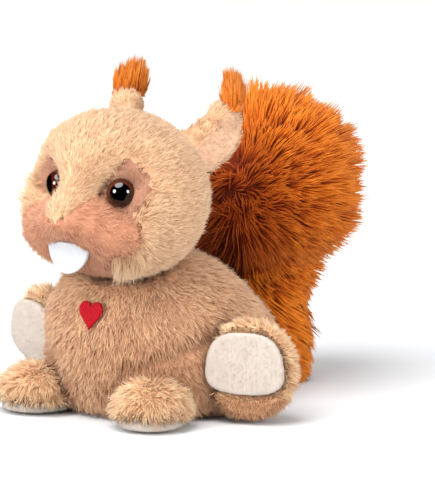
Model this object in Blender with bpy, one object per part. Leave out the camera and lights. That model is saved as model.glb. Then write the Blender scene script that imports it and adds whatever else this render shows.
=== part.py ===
"""A plush squirrel, lying on its belly with its front paws out and its bushy tail up behind it.

The cover is cut and sewn from short-pile plush, with a pieced face, and stuffed. The toy faces -Y,
its left side is +X, and the origin is on the flat of its belly. Lengths are in metres, angles in degrees.
A swell or dent of a stuffed form has a peak, at an angle around from the front towards the toy's left
and an angle above level, a height, and a spread around and above.
"""

import math

import bmesh
import bpy
from mathutils import Matrix, Vector

MM = 0.001

# Seams and fabrics
CLEARANCE = 0.3 * MM
PANEL_THICKNESS = 3.0 * MM
SOLE_THICKNESS = 3.0 * MM
SOLE_PROUD = 0.8 * MM

# Body
BODY_WIDTH = 72.0 * MM
BODY_LENGTH = 88.0 * MM
BODY_DEPTH = 76.0 * MM
BODY_RISE = 16.5 * MM
BODY_BACK = 2.0 * MM
CHEST = dict(around=0, above=42, height=10.0 * MM, spread=52, spread_above=34)
BACK_SLOPE = dict(around=180, above=44, height=-6.0 * MM, spread=62, spread_above=34)
HAUNCH = dict(around=68, above=-8, height=3.0 * MM, spread=30)

# Head
HEAD_WIDTH = 67.0 * MM
HEAD_LENGTH = 59.0 * MM
HEAD_HEIGHT = 58.0 * MM
HEAD_FORWARD = 27.4 * MM
NECK_SINK = 8.1 * MM
SNOUT = dict(around=0, above=-9, height=6.5 * MM, spread=16)
MOUTH_DENT = dict(around=0, above=-32, height=-4.0 * MM, spread=18)
MUZZLE_SWELL = dict(around=27, above=-24, height=3.4 * MM, spread=22)
CHEEK = dict(around=62, above=-28, height=3.6 * MM, spread=32)
EYE_ABOVE = 10.0
EYE_AROUND = 45.0
EYE_SOCKET = dict(around=38, above=EYE_ABOVE, height=-13.0 * MM, spread=26, spread_above=18)

# Face panels: corners seen from the front, the muzzle's about the mouth and the patch's about the eye
FACE_CUT_START = 5.0 * MM
MUZZLE_TOP = (0, 4.5 * MM)
MUZZLE_SIDE = [
    (6.5 * MM, 7.3 * MM),
    (13.5 * MM, 11.7 * MM),
    (20.0 * MM, 10.3 * MM),
    (23.5 * MM, 4.3 * MM),
    (20.5 * MM, -3.7 * MM),
    (13.0 * MM, -10.2 * MM),
]
MUZZLE_CHIN = (0, -13.2 * MM)
EYE_PATCH_CORNERS = [
    (-3.2 * MM, 0.7 * MM),
    (-0.7 * MM, 7.7 * MM),
    (4.8 * MM, 12.7 * MM),
    (10.3 * MM, 8.2 * MM),
    (12.8 * MM, 0.7 * MM),
    (10.3 * MM, -6.3 * MM),
    (3.3 * MM, -5.8 * MM),
]

# Safety eyes
EYE_DIAMETER = 10.0 * MM
EYE_DOME = 4.4 * MM
EYE_RIM = 1.0 * MM
EYE_TURN = 40.0
EYE_SINK = 1.0 * MM
SHANK_DIAMETER = 4.6 * MM
SHANK_LENGTH = 9.0 * MM
RIDGE_HEIGHT = 0.25 * MM
RIDGE_START = 0.8 * MM
RIDGE_SLOPE = 0.8 * MM
RIDGE_BACK = 0.16 * MM
RIDGE_PITCH = 1.6 * MM
RIDGE_COUNT = 2
WASHER_DIAMETER = 11.5 * MM
WASHER_THICKNESS = 1.4 * MM

# Tooth
TOOTH_WIDTH = 17.6 * MM
TOOTH_DROP = 10.8 * MM
TOOTH_THICKNESS = 1.4 * MM
TOOTH_POINT = 1.1
TOOTH_ARCH = 1.8 * MM
TOOTH_BEND_RADIUS = 34.0 * MM
TOOTH_TUCK = 1.2 * MM
MOUTH_BELOW = -28.0

# Ears
EAR_LENGTH = 42.0 * MM
EAR_WIDTH = 25.0 * MM
EAR_THICKNESS = 7.0 * MM
EAR_POINT = dict(around=0, above=90, height=2.5 * MM, spread=18)
EAR_CUP = dict(around=0, above=31, height=-1.6 * MM, spread=40)
EAR_OUTER = dict(around=90, above=52, height=3.0 * MM, spread=24)
EAR_INNER = dict(around=-90, above=42, height=-3.6 * MM, spread=30)
EAR_AROUND = 142.6
EAR_ABOVE = 26.5
EAR_SEAT = 2.5 * MM
EAR_LEAN = Vector((0.40, 0.62, 0.67))
EAR_ACROSS = Vector((0.767, 0.237, -0.596))
TUFT_LENGTH = 16.0 * MM
TUFT_WIDTH = 10.5 * MM
TUFT_THICKNESS = 6.5 * MM
TUFT_LEAN = Vector((-0.14, 0.10, 0.98))
TUFT_ROOT = 0.15
TUFT_SINK = 2.0 * MM
TUFT_SPREAD = 0.6
TUFT_LOCK = 3.5 * MM
TUFT_FULL_LOW = 0.6

# Front paws
PAW_LENGTH = 32.0 * MM
PAW_WIDTH = 29.0 * MM
PAW_HEIGHT = 18.0 * MM
PAW_TURN = 33.0
PAW_SEAT = 12.5 * MM
PAD_SHOWS = 2.6 * MM
PAD_THICKNESS = 9.0 * MM
PAD_INSET = 2.4 * MM
PAD_FORWARD = 1.5 * MM

# Hind feet
FOOT_WIDTH = 35.0 * MM
FOOT_LENGTH = 30.0 * MM
FOOT_HEIGHT = 36.0 * MM
FOOT_TURN = 21.0
FOOT_SPREAD = 9.0 * MM
FOOT_FORWARD = 10.9 * MM
FOOT_SQUASH = 0.4 * MM
FOOT_FRONT_FLAT = 7.5 * MM
SOLE_WIDTH = 28.0 * MM
SOLE_HEIGHT = 22.0 * MM
SOLE_LIFT = 10.2 * MM
SOLE_SQUARENESS = 0.7
SOLE_TAPER = 0.25

# Tail
TAIL_BALL = 61.0 * MM
TAIL_TOP = 99.0 * MM
TAIL_STALK = 34.0 * MM
TAIL_FOOT_ROUND = 10.0 * MM
TAIL_SEAT = 12.0 * MM
TAIL_HUB_AROUND = 26.0
TAIL_HUB_ABOVE = -4.0
TAIL_DENT = dict(around=0, above=40, height=-6.0 * MM, spread=75, spread_above=28)
TAIL_BARE = 8.0 * MM
LOCK_LENGTH = 8.0 * MM
LOCK_LEAN = 52.0
STALK_LOCK_LENGTH = 5.0 * MM
STALK_COMB = Vector((0.5, -0.2, -1))

# Heart patch
HEART_WIDTH = 9.8 * MM
HEART_THICKNESS = 1.2 * MM
HEART_ABOVE = 23.6
HEART_AROUND = 4.5

# Smoothness: segments around and rings, or points along an outline
BODY_STEPS = (30, 18)
HEAD_STEPS = (30, 20)
LIMB_STEPS = (18, 11)
EAR_STEPS = (16, 12)
TUFT_STEPS = (10, 8)
TAIL_STEPS = (26, 21)
TURNED_STEPS = 16
DOME_STEPS = 5
CORNER_STEPS = 3
OUTLINE_STEPS = 24
TOOTH_STEPS = 14
TOOTH_BENDS = 6
SMALL = 0.001 * MM

UP = Vector((0, 0, 1))
UPRIGHT = Matrix.Identity(3)
FRONT_FACING = Matrix.Rotation(math.radians(90), 3, "X")
SIDES = ((1, "left"), (-1, "right"))


def fabric(name, hex_colour, roughness=0.9, sheen=0.0):
    """A material with an sRGB colour turned to linear light."""
    parts = [int(hex_colour[i : i + 2], 16) / 255 for i in (1, 3, 5)]
    linear = [p / 12.92 if p <= 0.04045 else ((p + 0.055) / 1.055) ** 2.4 for p in parts]
    material = bpy.data.materials.new(name)
    material.use_nodes = True
    shader = material.node_tree.nodes["Principled BSDF"]
    shader.inputs["Base Color"].default_value = (*linear, 1.0)
    shader.inputs["Roughness"].default_value = roughness
    shader.inputs["Metallic"].default_value = 0.0
    shader.inputs["Sheen Weight"].default_value = sheen
    material.diffuse_color = (*linear, 1.0)
    return material


def way_to(around, above):
    """The direction at an angle around from the front, towards the toy's left, and one above level."""
    around, above = math.radians(around), math.radians(above)
    return Vector((math.sin(around) * math.cos(above), -math.cos(around) * math.cos(above), math.sin(above)))


def axes_of(across, along, up):
    """A rotation whose X, Y and Z are three directions at right angles."""
    return Matrix((across, along, up)).transposed()


def facing(out):
    """Axes whose Z is a direction and whose X is level."""
    level = UP.cross(out).normalized()
    return axes_of(level, out.cross(level), out)


def turned_about_z(degrees):
    return Matrix.Rotation(math.radians(degrees), 3, "Z")


def face_outwards(bm):
    bmesh.ops.recalc_face_normals(bm, faces=bm.faces)
    if bm.calc_volume(signed=True) < 0:
        bmesh.ops.reverse_faces(bm, faces=bm.faces)


class Swell:
    """A swell or dent of a stuffed form. It fades with the angle from its peak."""

    def __init__(self, around, above, height, spread, spread_above=None, side=1):
        self.peak = way_to(side * around, above)
        self.height = height
        self.spread_around = math.radians(spread)
        self.spread_above = math.radians(spread_above or spread)

    def at(self, way):
        angle = self.peak.angle(way)
        east = UP.cross(self.peak)
        if angle < SMALL or east.length < SMALL:
            return self.height * math.exp(-((angle / self.spread_around) ** 2))
        around = min(abs(way.dot(east.normalized())) / math.sin(angle), 1.0) ** 2
        return self.height * math.exp(
            -(angle**2) * (around / self.spread_around**2 + (1 - around) / self.spread_above**2)
        )


def both_sides(swell):
    return [Swell(**swell, side=side) for side, hand in SIDES]


class Stuffed:
    """A stuffed form: an ellipsoid with swells and dents."""

    def __init__(self, centre, size, steps, swells=(), turned=UPRIGHT, pole=None):
        self.centre = Vector(centre)
        self.size = size
        self.steps = steps
        self.swells = swells
        self.turned = turned
        self.pole = pole or Matrix.Rotation(math.pi / steps[0], 3, "Z")

    def reach(self, way):
        """How far the surface is from the centre, in a direction of the form's own axes."""
        length = 1 / math.sqrt(sum((w / (s / 2)) ** 2 for w, s in zip(way, self.size)))
        return length + sum(swell.at(way) for swell in self.swells)

    def surface(self, way, above=0.0):
        """The point of the surface in a direction of the toy's axes."""
        return self.centre + way * (self.reach(self.turned.transposed() @ way) + above)

    def out_of(self, around, above, step=2.0):
        """The direction straight out of the surface at two angles."""
        across = self.surface(way_to(around + step, above)) - self.surface(way_to(around - step, above))
        rise = self.surface(way_to(around, above + step)) - self.surface(way_to(around, above - step))
        return across.cross(rise).normalized()

    def shell(self, above=0.0, floor=None):
        """The form's mesh about its own centre, grown by a distance and flat where it meets the floor."""
        bm = bmesh.new()
        bmesh.ops.create_uvsphere(bm, u_segments=self.steps[0], v_segments=self.steps[1], radius=1)
        for vert in bm.verts:
            way = (self.pole @ vert.co).normalized()
            vert.co = way * (self.reach(way) + above)
            if floor is not None:
                vert.co.z = max(vert.co.z, floor - self.centre.z)
        bmesh.ops.triangulate(bm, faces=bm.faces, quad_method="FIXED")
        return bm


def place(name, bm, material, location=(0, 0, 0), turned=UPRIGHT):
    """An object of a finished bmesh, shaded smooth, hung on the toy's empty."""
    face_outwards(bm)
    mesh = bpy.data.meshes.new(name)
    bm.to_mesh(mesh)
    bm.free()
    mesh.shade_smooth()
    mesh.set_sharp_from_angle(angle=math.radians(40))
    mesh.materials.append(material)
    thing = bpy.data.objects.new(name, mesh)
    bpy.context.scene.collection.objects.link(thing)
    thing.parent = toy
    thing.location = location
    thing.rotation_euler = turned.to_euler()
    return thing


def guide(name, bm, location=(0, 0, 0), turned=UPRIGHT):
    """A cutter or other helper, left out of the toy."""
    thing = place(name, bm, WASHER, location, turned)
    thing.hide_render = True
    thing.display_type = "WIRE"
    return thing


def place_form(name, form, material, floor=None):
    return place(name, form.shell(floor=floor), material, form.centre, form.turned)


def guide_form(name, form, above):
    return guide(name, form.shell(above), form.centre, form.turned)


def cut(thing, tool, operation="DIFFERENCE"):
    boolean = thing.modifiers.new(operation.lower() + "_" + tool.name, "BOOLEAN")
    boolean.operation = operation
    boolean.solver = "EXACT"
    boolean.object = tool


def turned_shape(profile):
    """A closed shape spun about Z from a profile of radius and height that starts and ends on the axis."""
    bm = bmesh.new()
    verts = [bm.verts.new((radius, 0, height)) for radius, height in profile]
    edges = [bm.edges.new(pair) for pair in zip(verts, verts[1:])]
    bmesh.ops.spin(
        bm, geom=verts + edges, cent=(0, 0, 0), axis=UP, angle=math.tau, steps=TURNED_STEPS, use_merge=True
    )
    bmesh.ops.remove_doubles(bm, verts=bm.verts, dist=SMALL)
    return bm


def extruded(outline, thickness, start=0.0):
    """A plate of an outline in its own XY, along Z from its start."""
    bm = bmesh.new()
    face = bm.faces.new([bm.verts.new((x, y, start)) for x, y in outline])
    top = bmesh.ops.extrude_face_region(bm, geom=[face])["geom"]
    verts = [element for element in top if isinstance(element, bmesh.types.BMVert)]
    bmesh.ops.translate(bm, vec=(0, 0, thickness), verts=verts)
    return bm


def grown(outline, by=CLEARANCE):
    """A closed outline moved outwards by a distance, with its corners kept."""
    points = [Vector(point) for point in outline]
    before, after = points[-1:] + points[:-1], points[1:] + points[:1]
    hand = math.copysign(1, sum(a.x * b.y - a.y * b.x for a, b in zip(points, after)))
    found = []
    for last, point, following in zip(before, points, after):
        leaving = (following - point).normalized()
        along = ((point - last).normalized() + leaving).normalized()
        found.append(point + Vector((along.y, -along.x)) * hand * by / max(along.dot(leaving), 0.5))
    return found


def rounded(corners):
    """A closed smooth outline through a few corners."""
    found = []
    for i in range(len(corners)):
        p0, p1, p2, p3 = (Vector(corners[(i + k) % len(corners)]) for k in (-1, 0, 1, 2))
        for k in range(CORNER_STEPS):
            t = k / CORNER_STEPS
            curve = 2 * p1 + (p2 - p0) * t + (2 * p0 - 5 * p1 + 4 * p2 - p3) * t**2
            found.append((curve + (3 * p1 - 3 * p2 + p3 - p0) * t**3) / 2)
    return found


def arc(centre, radius, start, end, steps):
    """Points along an arc between two angles."""
    angles = [math.radians(start + (end - start) * i / steps) for i in range(steps + 1)]
    return [(centre[0] + radius * math.cos(a), centre[1] + radius * math.sin(a)) for a in angles]


def spread_evenly(path, count):
    """Points at equal distances along a path, both ends among them."""
    points = [Vector(p) for p in path]
    lengths = [(b - a).length for a, b in zip(points, points[1:])]
    found, done, leg = [], 0.0, 0
    for i in range(count + 1):
        target = sum(lengths) * i / count
        while leg < len(lengths) - 1 and done + lengths[leg] < target:
            done += lengths[leg]
            leg += 1
        found.append(points[leg].lerp(points[leg + 1], min((target - done) / lengths[leg], 1.0)))
    return found


def superellipse(width, height, power, steps):
    """A closed outline between an oval and a box."""
    angles = [math.tau * (i + 0.5) / steps for i in range(steps)]
    return [
        (
            math.copysign(abs(math.cos(a)) ** power, math.cos(a)) * width / 2,
            math.copysign(abs(math.sin(a)) ** power, math.sin(a)) * height / 2,
        )
        for a in angles
    ]


def raise_locks(bm, faces, lift):
    """Draws each face out into a lock of long pile. lift gives a lock's length and lean at a point."""
    face_outwards(bm)
    roots = bmesh.ops.poke(bm, faces=faces)["verts"]
    bm.normal_update()
    tips = [root.co + lift(root.co, root.normal) for root in roots]
    for root, tip in zip(roots, tips):
        root.co = tip


def muzzle_outline():
    left = [(-x, y) for x, y in reversed(MUZZLE_SIDE)]
    return rounded([MUZZLE_TOP] + MUZZLE_SIDE + [MUZZLE_CHIN] + left)


def face_panel(name, outline, material, middle):
    """A panel of the face, as thick as its pile. Its outline is seen from the front, about its middle."""
    start = Vector((middle.x, head_form.centre.y - FACE_CUT_START, middle.z))
    panel = place(name, extruded(outline, HEAD_LENGTH), material, start, FRONT_FACING)
    cut(panel, head_blank, "INTERSECT")
    cut(panel, head_lining)
    return panel


def panel_room(name, outline, middle, order):
    """The room for a panel, with its clearance. Each starts a little further back than the last."""
    start = Vector((middle.x, head_form.centre.y - FACE_CUT_START + order * CLEARANCE, middle.z))
    return guide(name, extruded(grown(outline), HEAD_LENGTH), start, FRONT_FACING)


def eye_profile():
    """Half of a safety eye's section: a ridged shank, a flat back, a rim and a dome."""
    shank = SHANK_DIAMETER / 2
    profile = [(0, -SHANK_LENGTH), (shank, -SHANK_LENGTH)]
    for i in range(RIDGE_COUNT):
        foot = RIDGE_START + i * RIDGE_PITCH - SHANK_LENGTH
        profile += [(shank, foot), (shank + RIDGE_HEIGHT, foot + RIDGE_SLOPE)]
        profile += [(shank, foot + RIDGE_SLOPE + RIDGE_BACK)]
    dome = arc((0, 0), 1, 0, 90, DOME_STEPS)[:-1]
    profile += [(shank, 0), (EYE_DIAMETER / 2, 0)]
    profile += [(EYE_DIAMETER / 2 * x, EYE_RIM + EYE_DOME * y) for x, y in dome]
    return profile + [(0, EYE_RIM + EYE_DOME)]


def washer_ends():
    """How far behind the eye's flat back its washer starts and ends: just behind the patch."""
    front = EYE_SINK - PANEL_THICKNESS - CLEARANCE
    return front - WASHER_THICKNESS, front


def washer_profile():
    back, front = washer_ends()
    bore, rim = SHANK_DIAMETER / 2 + RIDGE_HEIGHT + CLEARANCE, WASHER_DIAMETER / 2
    return [(bore, back), (rim, back), (rim, front), (bore, front), (bore, back)]


def eye_room_profile():
    """Half of the room for an eye and its washer: a bore, a pocket across it and a seat open in front."""
    back, front = washer_ends()
    bore = SHANK_DIAMETER / 2 + RIDGE_HEIGHT + CLEARANCE
    pocket = WASHER_DIAMETER / 2 + CLEARANCE
    seat = EYE_DIAMETER / 2 + CLEARANCE
    profile = [(0, -SHANK_LENGTH - CLEARANCE), (bore, -SHANK_LENGTH - CLEARANCE)]
    profile += [(bore, back - CLEARANCE), (pocket, back - CLEARANCE)]
    profile += [(pocket, front + CLEARANCE), (bore, front + CLEARANCE)]
    return profile + [(bore, -CLEARANCE), (seat, -CLEARANCE), (seat, 2 * EYE_DOME), (0, 2 * EYE_DOME)]


def tooth_outline():
    """A plectrum with pointed corners, arched along the top."""
    angles = [math.pi * i / TOOTH_STEPS for i in range(TOOTH_STEPS + 1)]
    across = [math.copysign(abs(math.cos(a)) ** TOOTH_POINT, math.cos(a)) * TOOTH_WIDTH / 2 for a in angles]
    fall = [max(math.sin(a), 0.0) ** TOOTH_POINT * (TOOTH_DROP - TOOTH_ARCH) for a in angles]
    lower = [(x, -TOOTH_ARCH - z) for x, z in zip(across, fall)]
    return lower + [(math.cos(a) * TOOTH_WIDTH / 2, -TOOTH_ARCH * (1 - math.sin(a))) for a in angles[-2:0:-1]]


def bent_round_muzzle(bm):
    """The plate with creases from top to bottom, bent back towards its sides."""
    for i in range(1, TOOTH_BENDS):
        everything = bm.verts[:] + bm.edges[:] + bm.faces[:]
        crease = (i / TOOTH_BENDS - 0.5) * TOOTH_WIDTH
        bmesh.ops.bisect_plane(bm, geom=everything, plane_co=(crease, 0, 0), plane_no=(1, 0, 0))
    for vert in bm.verts:
        vert.co.z -= vert.co.x**2 / (2 * TOOTH_BEND_RADIUS)
    return bm


def ear_form(side):
    along = Vector((side * EAR_LEAN.x, EAR_LEAN.y, EAR_LEAN.z)).normalized()
    across = Vector((EAR_ACROSS.x, side * EAR_ACROSS.y, side * EAR_ACROSS.z))
    across = (across - along * across.dot(along)).normalized()
    root = head_form.surface(way_to(side * EAR_AROUND, EAR_ABOVE), -EAR_SEAT)
    return Stuffed(
        root,
        (EAR_WIDTH, EAR_THICKNESS, EAR_LENGTH),
        EAR_STEPS,
        [Swell(**EAR_POINT), Swell(**EAR_CUP), Swell(**EAR_OUTER, side=side), Swell(**EAR_INNER, side=side)],
        axes_of(across, along.cross(across), along),
    )


def tuft_lift(co, normal):
    return (UP + normal * TUFT_SPREAD).normalized() * TUFT_LOCK


def tuft_shape():
    """A spindle of long pile, fullest below its middle, with its locks drawn upwards."""
    bm = bmesh.new()
    bmesh.ops.create_uvsphere(bm, u_segments=TUFT_STEPS[0], v_segments=TUFT_STEPS[1], radius=1)
    for vert in bm.verts:
        t = max(1 - vert.co.angle(UP) / math.pi, 0.0)
        full = math.sqrt(max(math.sin(math.pi * t**TUFT_FULL_LOW), 0.0))
        spoke = Vector((vert.co.x, vert.co.y))
        if spoke.length > SMALL:
            spoke = spoke.normalized() * full
        vert.co = (spoke.x * TUFT_WIDTH / 2, spoke.y * TUFT_THICKNESS / 2, (t - TUFT_ROOT) * TUFT_LENGTH)
    upper = [face for face in bm.faces if face.calc_center_median().z > TUFT_ROOT * TUFT_LENGTH]
    raise_locks(bm, upper, tuft_lift)
    return bm


def sole_outline():
    """A D lying on its flat, narrower at the top."""
    oval = superellipse(SOLE_WIDTH, SOLE_HEIGHT, SOLE_SQUARENESS, OUTLINE_STEPS)
    return [(x * (1 - SOLE_TAPER * y / SOLE_HEIGHT), y) for x, y in oval]


def sole_shape():
    """The sole's plate, with a soft edge round its outer face."""
    bm = extruded(sole_outline(), SOLE_THICKNESS)
    rim = [edge for edge in bm.edges if all(vert.co.z > SOLE_THICKNESS / 2 for vert in edge.verts)]
    bmesh.ops.bevel(bm, geom=rim, offset=SOLE_PROUD, segments=2, profile=0.5, affect="EDGES", material=-1)
    return bm


def foot_shape(form):
    """A foot's form, pressed flat in front where the sole is sewn on."""
    bm = form.shell(floor=0)
    for vert in bm.verts:
        vert.co.y = max(vert.co.y, -FOOT_FRONT_FLAT)
    return bm


def tail_neck():
    """How far below the ball's centre the stalk enters it."""
    return math.sqrt((TAIL_BALL**2 - TAIL_STALK**2) / 4)


def tail_profile():
    """Half of the tail's outline, about the ball's centre, from the floor to the crown."""
    stalk, floor = TAIL_STALK / 2, -ball_centre.z
    corner = arc((stalk - TAIL_FOOT_ROUND, floor + TAIL_FOOT_ROUND), TAIL_FOOT_ROUND, -90, 0, DOME_STEPS)
    start = math.degrees(math.asin(TAIL_STALK / TAIL_BALL)) - 90
    return [(0, floor)] + corner + arc((0, 0), TAIL_BALL / 2, start, 90, OUTLINE_STEPS)


def tail_lift(co, normal):
    """A lock's length and lean: away from the hub over the ball, and down and out over the stalk."""
    on_stalk = co.z < -tail_neck()
    away = STALK_COMB if on_stalk else co - hub
    away = (away - normal * away.dot(normal)).normalized()
    lean = math.radians(LOCK_LEAN)
    length = STALK_LOCK_LENGTH if on_stalk else LOCK_LENGTH
    return (normal * math.cos(lean) + away * math.sin(lean)) * length


def clear_of_body(point):
    apart = point - body_form.centre
    return apart.length > body_form.reach(apart.normalized()) + STALK_LOCK_LENGTH


def tail_shape():
    """The tail's outline turned round, pressed in where the ears meet it, with its locks raised.

    Every second ring is half a step on.
    """
    stations = spread_evenly(tail_profile(), TAIL_STEPS[1])
    dent = Swell(**TAIL_DENT)
    bm = bmesh.new()
    bmesh.ops.create_uvsphere(bm, u_segments=TAIL_STEPS[0], v_segments=TAIL_STEPS[1], radius=1)
    for vert in bm.verts:
        ring = round((1 - vert.co.angle(UP) / math.pi) * TAIL_STEPS[1])
        radius, height = stations[ring]
        spoke = Vector((vert.co.x, vert.co.y))
        if spoke.length > SMALL:
            spoke = spoke.normalized() * radius
        spoke.rotate(Matrix.Rotation(math.pi / TAIL_STEPS[0] * (ring % 2), 2))
        vert.co = (*spoke, height)
        if height > -tail_neck():
            vert.co += vert.co.normalized() * dent.at(vert.co.normalized())
    middles = {face: ball_centre + face.calc_center_median() for face in bm.faces}
    outer = [face for face, middle in middles.items() if middle.z > TAIL_BARE and clear_of_body(middle)]
    raise_locks(bm, outer, tail_lift)
    return bm


def heart_outline(width):
    """A heart: half its width times the cube of a sine across, and four cosines up."""
    angles = [math.tau * (i + 0.5) / OUTLINE_STEPS for i in range(OUTLINE_STEPS)]
    unit = width / 32
    rise = [13 * math.cos(a) - 5 * math.cos(2 * a) - 2 * math.cos(3 * a) - math.cos(4 * a) for a in angles]
    return [(width / 2 * math.sin(a) ** 3, unit * y) for a, y in zip(angles, rise)]


for old in list(bpy.data.objects):
    bpy.data.objects.remove(old, do_unlink=True)

toy = bpy.data.objects.new("squirrel", None)
bpy.context.scene.collection.objects.link(toy)

COAT = fabric("tan_plush", "#D9AE7C", sheen=0.3)
FACE = fabric("beige_plush", "#E6C08D", sheen=0.3)
MUZZLE = fabric("pink_tan_plush", "#CF9D78", sheen=0.3)
EYE_PATCH = fabric("dusty_pink_plush", "#C79A80", sheen=0.3)
TAIL = fabric("rust_long_plush", "#BF621B", sheen=0.3)
TUFT = fabric("orange_long_plush", "#D98A3D", sheen=0.3)
SOLE = fabric("ivory_velour", "#EDE3D3", sheen=0.2)
FELT = fabric("white_felt", "#F7F6F4", roughness=0.95)
HEART = fabric("red_embroidery", "#B5121F", roughness=0.7)
EYE = fabric("black_brown_plastic", "#1C0D08", roughness=0.08)
WASHER = fabric("natural_plastic", "#E9E6DC", roughness=0.4)

# The body, flat where it lies, and the head with its sockets pinched in beside the bridge
body_form = Stuffed(
    (0, BODY_BACK, BODY_RISE),
    (BODY_WIDTH, BODY_LENGTH, BODY_DEPTH),
    BODY_STEPS,
    [Swell(**CHEST), Swell(**BACK_SLOPE)] + both_sides(HAUNCH),
)
head_form = Stuffed(
    (0, BODY_BACK - HEAD_FORWARD, BODY_RISE + (BODY_DEPTH + HEAD_HEIGHT) / 2 - NECK_SINK),
    (HEAD_WIDTH, HEAD_LENGTH, HEAD_HEIGHT),
    HEAD_STEPS,
    [Swell(**SNOUT), Swell(**MOUTH_DENT)]
    + both_sides(MUZZLE_SWELL)
    + both_sides(CHEEK)
    + both_sides(EYE_SOCKET),
    pole=FRONT_FACING,
)
body = place_form("body", body_form, COAT, floor=0)
head = place_form("head", head_form, FACE)
body_room = guide_form("body_room", body_form, CLEARANCE)
head_room = guide_form("head_room", head_form, CLEARANCE)
head_blank = guide_form("head_blank", head_form, 0)
head_lining = guide_form("head_lining", head_form, -PANEL_THICKNESS)
head_pocket_floor = guide_form("head_pocket_floor", head_form, -PANEL_THICKNESS - CLEARANCE)
cut(body, head_room)

# The muzzle and the felt tooth tucked into the seam of its mouth
mouth = head_form.surface(way_to(0, MOUTH_BELOW), -TOOTH_TUCK)
muzzle = face_panel("muzzle", muzzle_outline(), MUZZLE, mouth)
face_pocket = panel_room("face_pocket", muzzle_outline(), mouth, 1)
place("tooth", bent_round_muzzle(extruded(tooth_outline(), TOOTH_THICKNESS)), FELT, mouth, FRONT_FACING)
tooth_space = extruded(grown(tooth_outline()), TOOTH_THICKNESS + 2 * CLEARANCE, -CLEARANCE)
tooth_room = guide("tooth_room", bent_round_muzzle(tooth_space), mouth, FRONT_FACING)

# The patches beside the muzzle, and the safety eyes whose shanks go through them into washers
eye_rooms = []
for order, (side, hand) in enumerate(SIDES, 2):
    eye_seat = head_form.surface(way_to(side * EYE_AROUND, EYE_ABOVE), -EYE_SINK)
    eye_axes = facing(way_to(side * EYE_TURN, 0))
    outline = rounded([(side * x, y) for x, y in EYE_PATCH_CORNERS])
    patch = face_panel("eye_patch_" + hand, outline, EYE_PATCH, eye_seat)
    patch_room = panel_room("eye_patch_room_" + hand, outline, eye_seat, order)
    place("eye_" + hand, turned_shape(eye_profile()), EYE, eye_seat, eye_axes)
    place("eye_washer_" + hand, turned_shape(washer_profile()), WASHER, eye_seat, eye_axes)
    eye_room = guide("eye_room_" + hand, turned_shape(eye_room_profile()), eye_seat, eye_axes)
    cut(muzzle, patch_room)
    cut(patch, eye_room)
    cut(face_pocket, patch_room, "UNION")
    eye_rooms.append(eye_room)
cut(muzzle, tooth_room)
cut(face_pocket, head_pocket_floor)
for room in [face_pocket, tooth_room] + eye_rooms:
    cut(head, room)

# The ears, sewn to the head, and the tufts on their tips
for side, hand in SIDES:
    form = ear_form(side)
    along = form.turned.col[2]
    ear = place_form("ear_" + hand, form, FACE)
    cut(ear, head_room)
    up = Vector((side * TUFT_LEAN.x, TUFT_LEAN.y, TUFT_LEAN.z)).normalized()
    wide = (form.turned.col[1] - up * form.turned.col[1].dot(up)).normalized()
    tuft_root = form.surface(along, -TUFT_SINK)
    tuft = place("ear_tuft_" + hand, tuft_shape(), TUFT, tuft_root, axes_of(wide, up.cross(wide), up))
    cut(tuft, guide_form("ear_room_" + hand, form, CLEARANCE))

# The front paws, each on a light pad
paw_rooms = {}
for side, hand in SIDES:
    forward = way_to(side * PAW_TURN, 0)
    out = body_form.reach(forward) + PAW_LENGTH / 2 - PAW_SEAT
    middle = Vector((body_form.centre.x, body_form.centre.y, PAD_SHOWS)) + forward * out
    turned = turned_about_z(side * PAW_TURN)
    paw_form = Stuffed(
        middle + UP * (PAW_HEIGHT / 2 - 2 * PAD_SHOWS),
        (PAW_WIDTH, PAW_LENGTH, PAW_HEIGHT + 2 * PAD_SHOWS),
        LIMB_STEPS,
        turned=turned,
    )
    pad_form = Stuffed(
        middle + forward * PAD_FORWARD,
        (PAW_WIDTH - 2 * PAD_INSET, PAW_LENGTH - 2 * PAD_INSET, PAD_THICKNESS),
        LIMB_STEPS,
        turned=turned,
    )
    paw = place_form("paw_" + hand, paw_form, COAT, floor=PAD_SHOWS)
    pad = place_form("paw_pad_" + hand, pad_form, SOLE, floor=0)
    cut(paw, body_room)
    cut(pad, body_room)
    cut(paw, guide_form("pad_room_" + hand, pad_form, CLEARANCE))
    paw_rooms[hand] = guide_form("paw_room_" + hand, paw_form, CLEARANCE)

# The hind feet, turned sole forward
for side, hand in SIDES:
    turned = turned_about_z(side * FOOT_TURN)
    foot_form = Stuffed(
        (side * (BODY_WIDTH / 2 + FOOT_SPREAD), body_form.centre.y - FOOT_FORWARD, FOOT_HEIGHT / 2),
        (FOOT_WIDTH, FOOT_LENGTH, FOOT_HEIGHT + 2 * FOOT_SQUASH),
        LIMB_STEPS,
        turned=turned,
    )
    foot = place("foot_" + hand, foot_shape(foot_form), COAT, foot_form.centre, turned)
    sole_back = foot_form.centre + turned @ Vector((0, SOLE_THICKNESS - SOLE_PROUD - FOOT_FRONT_FLAT, 0))
    sole_back.z = SOLE_LIFT + SOLE_HEIGHT / 2
    place("foot_sole_" + hand, sole_shape(), SOLE, sole_back, turned @ FRONT_FACING)
    sole_space = extruded(grown(sole_outline()), 2 * SOLE_THICKNESS, -CLEARANCE)
    sole_room = guide("sole_room_" + hand, sole_space, sole_back, turned @ FRONT_FACING)
    cut(foot, sole_room)
    cut(foot, body_room)
    cut(foot, paw_rooms[hand])
    cut(body, sole_room)

# The tail: a stalk and a ball of long pile in locks that part round a hub
tail_back = body_form.centre.y + (BODY_LENGTH + TAIL_STALK) / 2 - TAIL_SEAT
ball_centre = Vector((0, tail_back, TAIL_TOP - TAIL_BALL / 2))
hub = way_to(TAIL_HUB_AROUND, TAIL_HUB_ABOVE) * TAIL_BALL / 2
tail = place("tail", tail_shape(), TAIL, ball_centre)
cut(tail, body_room)

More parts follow.
